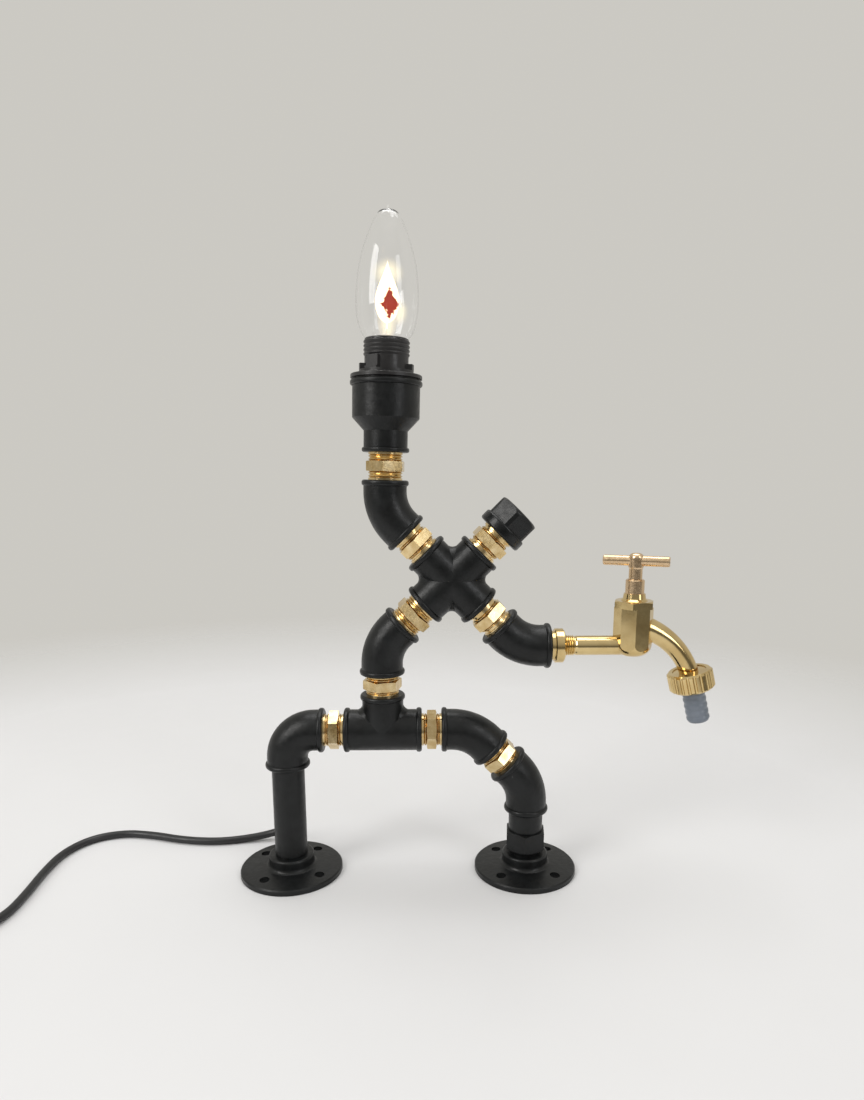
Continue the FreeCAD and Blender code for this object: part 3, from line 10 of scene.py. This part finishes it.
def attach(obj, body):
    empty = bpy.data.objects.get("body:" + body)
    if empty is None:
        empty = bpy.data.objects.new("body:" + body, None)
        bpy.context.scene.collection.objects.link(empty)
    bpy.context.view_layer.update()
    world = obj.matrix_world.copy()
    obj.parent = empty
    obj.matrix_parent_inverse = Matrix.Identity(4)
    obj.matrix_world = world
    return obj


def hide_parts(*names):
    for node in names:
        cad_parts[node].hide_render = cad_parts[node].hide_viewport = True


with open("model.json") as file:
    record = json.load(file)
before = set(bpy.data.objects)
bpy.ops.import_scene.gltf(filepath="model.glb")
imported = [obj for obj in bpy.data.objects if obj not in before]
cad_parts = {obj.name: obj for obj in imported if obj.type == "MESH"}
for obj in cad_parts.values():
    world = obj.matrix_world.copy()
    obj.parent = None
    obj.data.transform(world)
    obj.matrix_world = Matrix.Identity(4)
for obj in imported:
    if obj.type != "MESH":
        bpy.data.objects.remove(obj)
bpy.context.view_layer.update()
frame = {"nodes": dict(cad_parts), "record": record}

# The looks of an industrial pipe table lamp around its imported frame. Lengths are in metres, but the
# cord's and the bulb's are in millimetres, and MM brings them to metres.
MM = 0.001
nodes = frame["nodes"]
node_slot = {part["node"]: part["material_slot"] for part in frame["record"]["subparts"]}
scene = bpy.context.scene


# ------------------------------------------------------------------ meshes
def circle(count):
    """The angles of so many places evenly round a circle."""
    return [2 * math.pi * k / count for k in range(count)]


def join_rings(bm, rings):
    """Faces from each ring of points to the next. A ring may be a single point."""
    for low, high in zip(rings, rings[1:]):
        sides = max(len(low), len(high))
        for k in range(sides):
            after = (k + 1) % sides
            corners = [low[k % len(low)], high[k % len(high)],
                       high[after % len(high)], low[after % len(low)]]
            bm.faces.new(list(dict.fromkeys(corners)))


def add_mesh(name, bm, smooth=False):
    """Makes an object of the bmesh, which is then gone."""
    bmesh.ops.recalc_face_normals(bm, faces=bm.faces[:])
    mesh = bpy.data.meshes.new(name)
    bm.to_mesh(mesh)
    bm.free()
    for face in mesh.polygons:
        face.use_smooth = smooth
    piece = bpy.data.objects.new(name, mesh)
    scene.collection.objects.link(piece)
    return piece


# ------------------------------------------------------------------ shader nodes
def add_node(tree, kind, **settings):
    node = tree.nodes.new("ShaderNode" + kind)
    for setting, value in settings.items():
        setattr(node, setting, value)
    return node


class Finish:
    """A material, with short calls for the nodes that it is built from."""

    def __init__(self, name, **sockets):
        self.material = bpy.data.materials.new(name)
        self.material.use_nodes = True
        self.tree = self.material.node_tree
        self.shader = self.tree.nodes["Principled BSDF"]
        for socket, value in sockets.items():
            self.shader.inputs[socket.replace("_", " ")].default_value = value
        self.place = self.node("TexCoord").outputs["Object"]

    def node(self, kind, **settings):
        return add_node(self.tree, kind, **settings)

    def link(self, output, node, socket):
        self.tree.links.new(output, node.inputs[socket])

    def noise(self, scale, detail, stretch=None):
        node = self.node("TexNoise")
        node.inputs["Scale"].default_value = scale
        node.inputs["Detail"].default_value = detail
        place = self.place
        if stretch:
            mapping = self.node("Mapping")
            mapping.inputs["Scale"].default_value = stretch
            self.link(place, mapping, "Vector")
            place = mapping.outputs["Vector"]
        self.link(place, node, "Vector")
        return node.outputs["Fac"]

    def ramp(self, value, low, high, start=0.35, end=0.65):
        """Maps value, from start to end, to a number or a colour from low to high."""
        if isinstance(low, (int, float)):
            node = self.node("MapRange")
            ends = {"From Min": start, "From Max": end, "To Min": low, "To Max": high}
            for socket, number in ends.items():
                node.inputs[socket].default_value = number
            self.link(value, node, "Value")
            return node.outputs["Result"]
        node = self.node("ValToRGB")
        first, last = node.color_ramp.elements
        first.position, last.position = start, end
        first.color, last.color = (*low, 1.0), (*high, 1.0)
        self.link(value, node, "Fac")
        return node.outputs["Color"]

    def colour(self, value, low, high, start=0.35, end=0.65):
        self.link(self.ramp(value, low, high, start, end), self.shader, "Base Color")
        return self

    def roughness(self, value, low, high):
        self.link(self.ramp(value, low, high), self.shader, "Roughness")
        return self

    def bump(self, value, depth):
        """Adds relief of the given depth to what is there already."""
        node = self.node("Bump")
        node.inputs["Strength"].default_value = 1.0
        node.inputs["Distance"].default_value = depth
        self.link(value, node, "Height")
        normal = self.shader.inputs["Normal"]
        if normal.is_linked:
            self.tree.links.new(normal.links[0].from_socket, node.inputs["Normal"])
        self.tree.links.new(node.outputs["Normal"], normal)
        return self


# ------------------------------------------------------------------ finishes
def iron_finish(name="black_iron", rough=(0.30, 0.43), skin=0.00015):
    """Malleable iron in thin satin black paint: cast skin under it, a little dust on it."""
    f = Finish(name, Specular_IOR_Level=0.34)
    f.colour(f.noise(scale=90, detail=5), (0.0026, 0.0030, 0.0031), (0.0066, 0.0076, 0.0080))
    f.roughness(f.noise(scale=260, detail=5), *rough)
    f.bump(f.noise(scale=330, detail=3), depth=skin)
    f.bump(f.noise(scale=1900, detail=3), depth=0.00003)
    return f.material


def nipple_finish():
    """Turned brass, bright, with fine tool marks and a slight tarnish."""
    f = Finish("nipple_brass", Metallic=1.0)
    f.colour(f.noise(scale=170, detail=3), (0.58, 0.41, 0.18), (0.80, 0.64, 0.37), 0.3, 0.7)
    f.roughness(f.noise(scale=700, detail=3), 0.15, 0.24)
    return f.bump(f.noise(scale=2200, detail=2), depth=0.000004).material


def tap_finish():
    """Cast brass, polished, so its broad surfaces are not quite flat."""
    f = Finish("tap_brass", Metallic=1.0)
    f.colour(f.noise(scale=90, detail=2), (0.62, 0.45, 0.20), (0.75, 0.58, 0.29), 0.3, 0.7)
    f.roughness(f.noise(scale=400, detail=3), 0.09, 0.15)
    return f.bump(f.noise(scale=75, detail=1), depth=0.00007).material


def rose_brass_finish():
    """The redder, duller brass of the tap's turned rod parts."""
    f = Finish("rose_brass", Metallic=1.0)
    f.colour(f.noise(scale=200, detail=3), (0.66, 0.47, 0.28), (0.75, 0.56, 0.36), 0.3, 0.7)
    f.roughness(f.noise(scale=500, detail=3), 0.22, 0.3)
    return f.bump(f.noise(scale=700, detail=3, stretch=(1, 1, 4)), depth=0.000015).material


def contact_finish():
    f = Finish("contact_brass", Metallic=1.0, Base_Color=(0.76, 0.58, 0.28, 1))
    return f.roughness(f.noise(scale=900, detail=3), 0.2, 0.34).material


def plastic_finish():
    """Moulded thermoset with a fine spark-eroded grain."""
    f = Finish("black_plastic", Base_Color=(0.014, 0.013, 0.013, 1))
    f.roughness(f.noise(scale=400, detail=3), 0.30, 0.46)
    return f.bump(f.noise(scale=3000, detail=2), depth=0.00002).material


def ceramic_finish():
    f = Finish("white_ceramic", Roughness=0.3)
    return f.colour(f.noise(scale=200, detail=2), (0.78, 0.76, 0.72), (0.86, 0.85, 0.81)).material


def rubber_finish():
    f = Finish("black_rubber", Roughness=0.6, Base_Color=(0.012, 0.012, 0.012, 1))
    return f.bump(f.noise(scale=1200, detail=3), depth=0.00003).material


def packing_finish():
    """Graphited yarn."""
    f = Finish("graphite_packing", Roughness=0.55)
    return f.colour(f.noise(scale=1500, detail=3), (0.03, 0.03, 0.03), (0.09, 0.09, 0.09)).material


def glass_finish():
    return Finish("clear_glass", Roughness=0.0, IOR=1.36, Transmission_Weight=1.0,
                  Base_Color=(1, 1, 1, 1)).material


DARK_MIDDLE = (0.0709, 0.0, 0.3600)   # of the dark diamond on the glowing plates
DARK_SIZE = (0.0058, 0.05, 0.0098)
DARK_EDGE = (0.78, 0.98)              # where it ends, as shares of its size
DARK_RAGGED = 0.2
DARK_RED = (0.24, 0.02, 0.007)
PLATE_LIGHT = (2.6, 2.05, 1.25)
GLOW_LIGHT = (1.0, 0.90, 0.66)
GLOW_STRENGTH = 1.25
GLOW_UNEVEN = (0.8, 1.2)


def flame_finish():
    """Coated plates that glow round a dark red diamond with a ragged edge."""
    f = Finish("flame_orange", Roughness=0.6, Base_Color=(*DARK_RED, 1), Emission_Strength=1.0)
    mapping = f.node("Mapping", vector_type="TEXTURE")
    mapping.inputs["Location"].default_value = DARK_MIDDLE
    mapping.inputs["Scale"].default_value = DARK_SIZE
    f.link(f.place, mapping, "Vector")
    size = f.node("VectorMath", operation="ABSOLUTE")
    f.link(mapping.outputs["Vector"], size, "Vector")
    spread = f.node("VectorMath", operation="DOT_PRODUCT")
    spread.inputs[1].default_value = (1, 0, 1)
    f.link(size.outputs["Vector"], spread, 0)
    ragged = f.node("Math", operation="ADD")
    f.link(spread.outputs["Value"], ragged, 0)
    f.link(f.ramp(f.noise(scale=420, detail=2), -DARK_RAGGED, DARK_RAGGED), ragged, 1)
    light = f.ramp(ragged.outputs["Value"], DARK_RED, PLATE_LIGHT, *DARK_EDGE)
    f.link(light, f.shader, "Emission Color")
    return f.bump(f.noise(scale=1200, detail=2), depth=0.00004).material


def glow_finish():
    """Glowing gas round the plates, thin enough to see through."""
    f = Finish("flame_glow", Base_Color=(0, 0, 0, 1), Roughness=1.0, Specular_IOR_Level=0.0,
               Emission_Color=(*GLOW_LIGHT, 1), Emission_Strength=GLOW_STRENGTH)
    dense = f.node("Attribute", attribute_name="dense")
    uneven = f.node("Math", operation="MULTIPLY")
    f.link(dense.outputs["Fac"], uneven, 0)
    f.link(f.ramp(f.noise(scale=150, detail=2), *GLOW_UNEVEN), uneven, 1)
    f.link(uneven.outputs["Value"], f.shader, "Alpha")
    return f.material


def grey_plastic_finish():
    f = Finish("grey_plastic", Roughness=0.32)
    f.colour(f.noise(scale=150, detail=3), (0.15, 0.175, 0.21), (0.185, 0.21, 0.25))
    return f.bump(f.noise(scale=1400, detail=2), depth=0.00003).material


def sheath_finish():
    """Extruded flex, with a faint waviness along it."""
    f = Finish("cable_sheath", Base_Color=(0.012, 0.012, 0.013, 1))
    f.roughness(f.noise(scale=300, detail=3), 0.34, 0.5)
    return f.bump(f.noise(scale=900, detail=2), depth=0.00003).material


def chrome_finish():
    f = Finish("pin_chrome", Metallic=1.0, Base_Color=(0.72, 0.71, 0.69, 1))
    return f.roughness(f.noise(scale=1200, detail=3), 0.12, 0.28).material


FINISHES = {
    "black_iron": iron_finish(),
    "nipple_brass": nipple_finish(),
    "tap_brass": tap_finish(),
    "contact_brass": contact_finish(),
    "black_plastic": plastic_finish(),
    "white_ceramic": ceramic_finish(),
    "black_rubber": rubber_finish(),
    "graphite_packing": packing_finish(),
    "clear_glass": glass_finish(),
    "flame_orange": flame_finish(),
    "grey_plastic": grey_plastic_finish(),
    "cable_sheath": sheath_finish(),
    "pin_chrome": chrome_finish(),
}
CAP_IRON = iron_finish("cap_iron", rough=(0.24, 0.36), skin=0.00008)
ROSE_BRASS = rose_brass_finish()
OWN_FINISH = {"end_cap": CAP_IRON, "handle_bar": ROSE_BRASS, "tap_spindle": ROSE_BRASS,
              "gland_nut": ROSE_BRASS}


def give(piece, finish):
    piece.data.materials.clear()
    piece.data.materials.append(finish)


def dress(piece, slot, body, finish=None):
    """Gives a new piece its finish, which is the slot's own unless another is given, and the body
    that it rides on.
    """
    give(piece, finish or FINISHES[slot])
    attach(piece, body)


for name, node in nodes.items():
    give(node, OWN_FINISH.get(name, FINISHES[node_slot[name]]))


# ------------------------------------------------------------------ the power cord
CORD_OD = 5.2
CORD_SMOOTHNESS = 6         # of its round section
CORD_STEPS = 10             # along it, from one point of its route to the next
CORD_EXIT = (0, 12.25, 22.5)
ON_TABLE = CORD_OD / 2
AT_SWITCH = 8.0
AT_PLUG = 6.9
COIL_CENTRE = (-270.0, -38.0)
COIL_MEAN = 57.2 / 2
COIL_TURNS = 7
COIL_SLOTS = 8              # places round the bundle's section, a turn in each but one
COIL_SLOT_RING = 6.96
COIL_FIRST_SLOT = -45.0     # degrees below the section's outer side
POINTS_PER_TURN = 16

LEAD_TO_SWITCH = [
    CORD_EXIT, (0, 25.5, 22.5), (-5.5, 37.5, 14.2), (-19, 42.5, 5.6), (-38, 39.5, ON_TABLE),
    (-60, 34.7, ON_TABLE), (-85, 37.5, ON_TABLE), (-109, 45.5, ON_TABLE), (-132, 49, ON_TABLE),
    (-153, 40.5, ON_TABLE), (-163.8, 20, ON_TABLE), (-164.2, -6, ON_TABLE),
    (-161.8, -32, ON_TABLE), (-161.5, -55, ON_TABLE), (-168, -72, 4.4),
    (-181.5, -82.5, AT_SWITCH), (-198, -85, AT_SWITCH),
]
LEAD_TO_COIL = [
    (-255.34, -93.69, AT_SWITCH), (-274.13, -96.54, AT_SWITCH), (-291.5, -89.2, 5.6),
    (-301.9, -74, 3.0), (-303.2, -56, 3.4),
]
LEAD_TO_PLUG = [(-305.0, -27, 8.2), (-303.4, -17, AT_PLUG), (-301.2, -8, AT_PLUG)]


def coil_points():
    """Turns side by side round a ring's section. Each turn moves on to the next place in it."""
    middle = ON_TABLE + COIL_SLOT_RING
    past_corner = 1 / math.cos(math.pi / POINTS_PER_TURN)
    points = []
    for i in range(COIL_TURNS * POINTS_PER_TURN + 1):
        turns = i / POINTS_PER_TURN
        round_ring = math.pi - 2 * math.pi * turns
        round_section = math.radians(COIL_FIRST_SLOT - 360 * turns / COIL_SLOTS)
        reach = (COIL_MEAN + COIL_SLOT_RING * math.cos(round_section)) * past_corner
        points.append((COIL_CENTRE[0] + reach * math.cos(round_ring),
                       COIL_CENTRE[1] + reach * math.sin(round_ring),
                       middle + COIL_SLOT_RING * math.sin(round_section)))
    return points


def add_cord():
    route = LEAD_TO_SWITCH + LEAD_TO_COIL + coil_points() + LEAD_TO_PLUG
    data = bpy.data.curves.new("power_cord", "CURVE")
    data.dimensions = "3D"
    data.bevel_depth = CORD_OD / 2 * MM
    data.bevel_resolution = CORD_SMOOTHNESS
    data.resolution_u = CORD_STEPS
    data.use_fill_caps = True
    spline = data.splines.new("NURBS")
    spline.points.add(len(route) - 1)
    for point, place in zip(spline.points, route):
        point.co = (*(c * MM for c in place), 1.0)
    spline.order_u = 3
    spline.use_endpoint_u = True
    cord = bpy.data.objects.new("power_cord", data)
    scene.collection.objects.link(cord)
    dress(cord, "cable_sheath", "frame")
    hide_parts("lead_to_switch", "lead_to_coil", "lead_to_plug", "cord_coil")
    return cord


def line_points(curve):
    """The points along a curve object's own line."""
    line = curve.copy()
    line.data = curve.data.copy()
    line.data.bevel_depth = 0
    mesh = bpy.data.meshes.new_from_object(line)
    places = [v.co.copy() for v in mesh.vertices]
    bpy.data.objects.remove(line)
    bpy.data.meshes.remove(mesh)
    return places


# ------------------------------------------------------------------ the grommet
SLEEVE_LENGTH = 24.0        # along the cord
SLEEVE_ROOT = 8.8
SLEEVE_TIP = 6.3
SLEEVE_RIBS = 7
SLEEVE_RIB = 0.28           # how far a rib stands out at the root, in diameter
SLEEVE_RIB_FADE = 0.6       # the share of it that is gone at the tip
SLEEVE_LIP = 0.3
SLEEVE_SIDES = 32
# The collar in the leg's hole, as diameters and distances from the pipe's axis.
BUSH = [(8.4, 7.5), (8.4, 9.6), (10.4, 10.7), (10.4, 12.0), (9.8, 12.25)]


def round_tube(bm, rings, sides):
    """A tube through rings given as centre, direction and radius, open at both ends."""
    loops = []
    for centre, direction, radius in rings:
        turn = direction.to_track_quat("Z", "Y")
        offsets = (Vector((radius * math.cos(a), radius * math.sin(a), 0)) for a in circle(sides))
        loops.append([bm.verts.new(centre + turn @ offset) for offset in offsets])
    join_rings(bm, loops)


def sleeve_diameter(share):
    """The tapering, ribbed sleeve's, at a share of its length."""
    rib = SLEEVE_RIB * math.cos(2 * math.pi * SLEEVE_RIBS * share) * (1 - SLEEVE_RIB_FADE * share)
    return SLEEVE_ROOT + (SLEEVE_TIP - SLEEVE_ROOT) * share + rib


def add_sleeve(places):
    """The grommet: a collar in the leg's hole, and a sleeve that bends with the cord's line."""
    out = Vector((0, 1, 0))
    exit_height = Vector((0, 0, CORD_EXIT[2] * MM))
    bush = [(out * (at * MM) + exit_height, out, d / 2 * MM) for d, at in BUSH]
    tube = []
    walked = 0.0
    for before, place in zip(places, places[1:]):
        walked += (place - before).length / MM
        if walked > SLEEVE_LENGTH:
            break
        radius = sleeve_diameter(walked / SLEEVE_LENGTH) / 2
        tube.append((place, (place - before).normalized(), radius * MM))
    last, way, _ = tube[-1]
    tube.append((last + way * SLEEVE_LIP * MM, way, CORD_OD / 2 * MM))
    bm = bmesh.new()
    round_tube(bm, bush + tube, SLEEVE_SIDES)
    sleeve = add_mesh("cord_sleeve", bm, smooth=True)
    dress(sleeve, "black_rubber", "frame")
    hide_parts("cable_grommet")


# ------------------------------------------------------------------ the bulb's glass
HOLDER_LEVEL = 2.2          # zero of the bulb's heights, above the socket's mouth
GLASS_WALL = 0.8
GLASS_SIDES = 72
# Outline of the glass from its neck to its sealed tip, as radius and height.
GLASS = [(8.0, 11), (8.0, 15.2), (9.2, 17.8), (12.4, 20.6), (15.5, 25), (17.7, 32), (18.6, 41),
         (18.2, 51.5), (16.6, 63), (13.8, 73), (10.8, 81), (8.3, 86.6), (5.6, 90.3), (2.7, 91.6),
         (1.1, 92.2), (0.8, 93.3), (0.6, 94.3), (0.0, 94.7)]
GLASS_PIP = 5               # points at the outline's end that are solid glass
CURVE_STEPS = 7


def smooth_curve(points):
    """A curve through the points, with each one's direction taken from its neighbours."""
    ends = [points[0], *points, points[-1]]
    curve = []
    for before, a, b, after in zip(ends, ends[1:], ends[2:], ends[3:]):
        reach = (b - a).length / 3
        leaving = a + (b - before).normalized() * reach
        arriving = b - (after - a).normalized() * reach
        curve += interpolate_bezier(a, leaving, arriving, b, CURVE_STEPS)[:-1]
    return curve + [points[-1]]


def lathe(bm, outline, sides):
    """Turns an outline of radius and height round the Z axis. A radius of zero is one point."""
    rings = []
    for radius, height in outline:
        turns = circle(sides if radius > 0 else 1)
        rings.append([bm.verts.new((radius * math.cos(a), radius * math.sin(a), height))
                      for a in turns])
    join_rings(bm, rings)


def bulb_place():
    """From millimetres round the bulb's axis to where it is in the holder."""
    joints = frame["record"]["behaviour"]["joints"]
    joint = next(j for j in joints if j["name"] == "bulb_turn")
    axis = Vector(joint["axis"])
    foot = Vector(joint["pos_m"]) + axis * (HOLDER_LEVEL * MM)
    turn = axis.to_track_quat("Z", "Y").to_matrix().to_4x4()
    return Matrix.Translation(foot) @ turn @ Matrix.Scale(MM, 4)


def glass_inside():
    """The outline of the glass's inner side, a wall's thickness in from the outer one."""
    top = Vector((0.0, GLASS[-GLASS_PIP][1]))
    curve = smooth_curve([Vector(p) for p in GLASS[:-GLASS_PIP]] + [top])
    inner = [curve[0] - Vector((GLASS_WALL, 0))]
    for before, place, after in zip(curve, curve[1:], curve[2:]):
        way = (after - before).normalized()
        inner.append(place + Vector((-way.y, way.x)) * GLASS_WALL)
    return [p for p in inner if p.x > 0] + [top - Vector((0, GLASS_WALL))]


def add_glass():
    """The clear candle-shaped glass, open at its neck, with the sealed pip at its tip."""
    inside = glass_inside()
    bm = bmesh.new()
    lathe(bm, [inside[0], *smooth_curve([Vector(p) for p in GLASS])], GLASS_SIDES)
    lathe(bm, inside, GLASS_SIDES)
    bmesh.ops.remove_doubles(bm, verts=bm.verts[:], dist=1e-4)
    bm.transform(bulb_place())
    glass = add_mesh("candle_glass", bm, smooth=True)
    dress(glass, "clear_glass", "bulb")
    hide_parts("bulb_glass")


# ------------------------------------------------------------------ the glow in the bulb
# The glowing places on the plates, as centre and reach, in metres.
GLOW_SPOTS = [
    ((0.0698, 0.0, 0.3770), (0.0105, 0.0105, 0.0092)),
    ((0.0755, 0.0, 0.3555), (0.0068, 0.0068, 0.0088)),
    ((0.0690, 0.0, 0.3500), (0.0060, 0.0060, 0.0130)),
]
GLOW_RINGS = 10
GLOW_SIDES = 48


def add_glow():
    """Thin veils round the plates, densest in their middle, one along and one across."""
    bm = bmesh.new()
    dense = bm.verts.layers.float.new("dense")
    for middle, reach in GLOW_SPOTS:
        for along in (Vector((1, 0, 0)), Vector((0, 1, 0))):
            rings = []
            for i in range(GLOW_RINGS + 1):
                share = i / GLOW_RINGS
                rings.append([])
                for turn in circle(GLOW_SIDES if i else 1):
                    offset = along * math.cos(turn) + Vector((0, 0, math.sin(turn)))
                    vert = bm.verts.new(Vector(middle) + offset * share * Vector(reach))
                    vert[dense] = (1 - share * share) ** 2
                    rings[-1].append(vert)
            join_rings(bm, rings)
    glow = add_mesh("flame_glow", bm, smooth=True)
    dress(glow, "flame_orange", "bulb", glow_finish())


# ------------------------------------------------------------------ the pieces, put together
cord = add_cord()
cord_line = line_points(cord)
add_sleeve(cord_line)
add_glass()
add_glow()


# ------------------------------------------------------------------ the floor
FLOOR_MIDDLE = (-0.02, 0.0, 0.0)
FLOOR_REACH = 1.0           # from its middle to each side
FLOOR_SOLID = 0.48          # distance from its middle up to which it is solid
FLOOR_GONE = 0.95


def floor_finish():
    """White lacquer that fades out into the room's pale colour, away from the lamp."""
    f = Finish("floor", Base_Color=(0.67, 0.67, 0.68, 1))
    f.roughness(f.noise(scale=30, detail=2), 0.5, 0.62)
    away = f.node("VectorMath", operation="LENGTH")
    f.link(f.place, away, "Vector")
    f.link(f.ramp(away.outputs["Value"], 1.0, 0.0, FLOOR_SOLID, FLOOR_GONE), f.shader, "Alpha")
    return f.material


def add_floor():
    bm = bmesh.new()
    bmesh.ops.create_grid(bm, x_segments=1, y_segments=1, size=FLOOR_REACH)
    floor = add_mesh("floor", bm)
    floor.location = FLOOR_MIDDLE
    give(floor, floor_finish())


# ------------------------------------------------------------------ the camera
PHOTO_WIDTH = 864
PHOTO_HEIGHT = 1100
FOCAL = 737.46              # of the lens, in pixels
MIDDLE_X = 436.57           # where the lens's axis meets the picture
MIDDLE_Y = 622.69
CAMERA_AT = (0.09163, -0.46006, 0.25893)
CAMERA_PITCH = 0.1916       # downwards
CAMERA_YAW = 0.0137         # to the right
CAMERA_ROLL = -0.0015
SENSOR = 36.0


def add_camera():
    data = bpy.data.cameras.new("camera")
    data.sensor_width = SENSOR
    data.lens = SENSOR * FOCAL / PHOTO_HEIGHT
    data.shift_x = (PHOTO_WIDTH / 2 - MIDDLE_X) / PHOTO_HEIGHT
    data.shift_y = (MIDDLE_Y - PHOTO_HEIGHT / 2) / PHOTO_HEIGHT
    data.clip_start = 0.01
    yaw = Matrix.Rotation(-CAMERA_YAW, 4, "Z")
    pitch = Matrix.Rotation(math.pi / 2 - CAMERA_PITCH, 4, "X")
    roll = Matrix.Rotation(CAMERA_ROLL, 4, "Z")
    camera = bpy.data.objects.new("camera", data)
    camera.matrix_world = Matrix.Translation(CAMERA_AT) @ yaw @ pitch @ roll
    scene.collection.objects.link(camera)
    scene.camera = camera


# ------------------------------------------------------------------ the lamps and the room
# Name, place, aim, width and height, power and colour of each lamp.
LAMPS = [
    ("window", (-1.2, -0.9, 1.1), (0.06, 0, 0.2), (0.7, 1.3), 17, (1.0, 0.99, 0.97)),
    ("fill", (1.3, -1.1, 0.9), (0.06, 0, 0.2), (0.5, 1.2), 6, (0.97, 0.98, 1.0)),
    ("top", (0.2, 0.3, 1.7), (0.06, 0, 0.1), (1.4, 1.0), 13, (1.0, 1.0, 1.0)),
]
WALL = (0.60, 0.585, 0.545)
# Brightness of the room in front, from straight down to straight up: floor, furniture, windows
# and ceiling.
ROOM = [(0.0, 0.60), (0.25, 0.52), (0.38, 0.19), (0.49, 0.15), (0.57, 0.32), (0.70, 0.50),
        (1.0, 0.72)]
ROOM_TINT = (1.0, 0.98, 0.93)
ROOM_EDGE = (-0.05, -0.55)  # forward part of a direction in which the wall turns into the room


def add_lamp(name, at, towards, size, power, colour):
    data = bpy.data.lights.new(name, "AREA")
    data.shape = "RECTANGLE"
    data.size, data.size_y = size
    data.energy = power
    data.color = colour
    lamp = bpy.data.objects.new(name, data)
    lamp.location = at
    lamp.rotation_euler = (Vector(towards) - Vector(at)).to_track_quat("-Z", "Y").to_euler()
    scene.collection.objects.link(lamp)


def room_ramp(tree):
    ramp = add_node(tree, "ValToRGB")
    stops = ramp.color_ramp.elements
    stops.remove(stops[1])
    for i, (at, light) in enumerate(ROOM):
        stop = stops.new(at) if i else stops[0]
        stop.position = at
        stop.color = (*(light * tint for tint in ROOM_TINT), 1)
    return ramp


def add_world():
    """A pale wall behind the lamp and a dimmer room in front of it."""
    world = bpy.data.worlds.new("studio")
    world.use_nodes = True
    tree = world.node_tree
    link = tree.links.new
    direction = add_node(tree, "SeparateXYZ")
    link(add_node(tree, "TexCoord").outputs["Generated"], direction.inputs["Vector"])
    height = add_node(tree, "MapRange")
    height.inputs["From Min"].default_value = -1.0
    link(direction.outputs["Z"], height.inputs["Value"])
    room = room_ramp(tree)
    link(height.outputs["Result"], room.inputs["Fac"])
    front = add_node(tree, "MapRange", interpolation_type="SMOOTHSTEP")
    front.inputs["From Min"].default_value, front.inputs["From Max"].default_value = ROOM_EDGE
    link(direction.outputs["Y"], front.inputs["Value"])
    mix = add_node(tree, "Mix", data_type="RGBA")
    link(front.outputs["Result"], mix.inputs["Factor"])
    mix.inputs["A"].default_value = (*WALL, 1)
    link(room.outputs["Color"], mix.inputs["B"])
    link(mix.outputs["Result"], tree.nodes["Background"].inputs["Color"])
    scene.world = world


add_floor()
add_camera()
for lamp in LAMPS:
    add_lamp(*lamp)
add_world()
scene.view_settings.view_transform = "Standard"
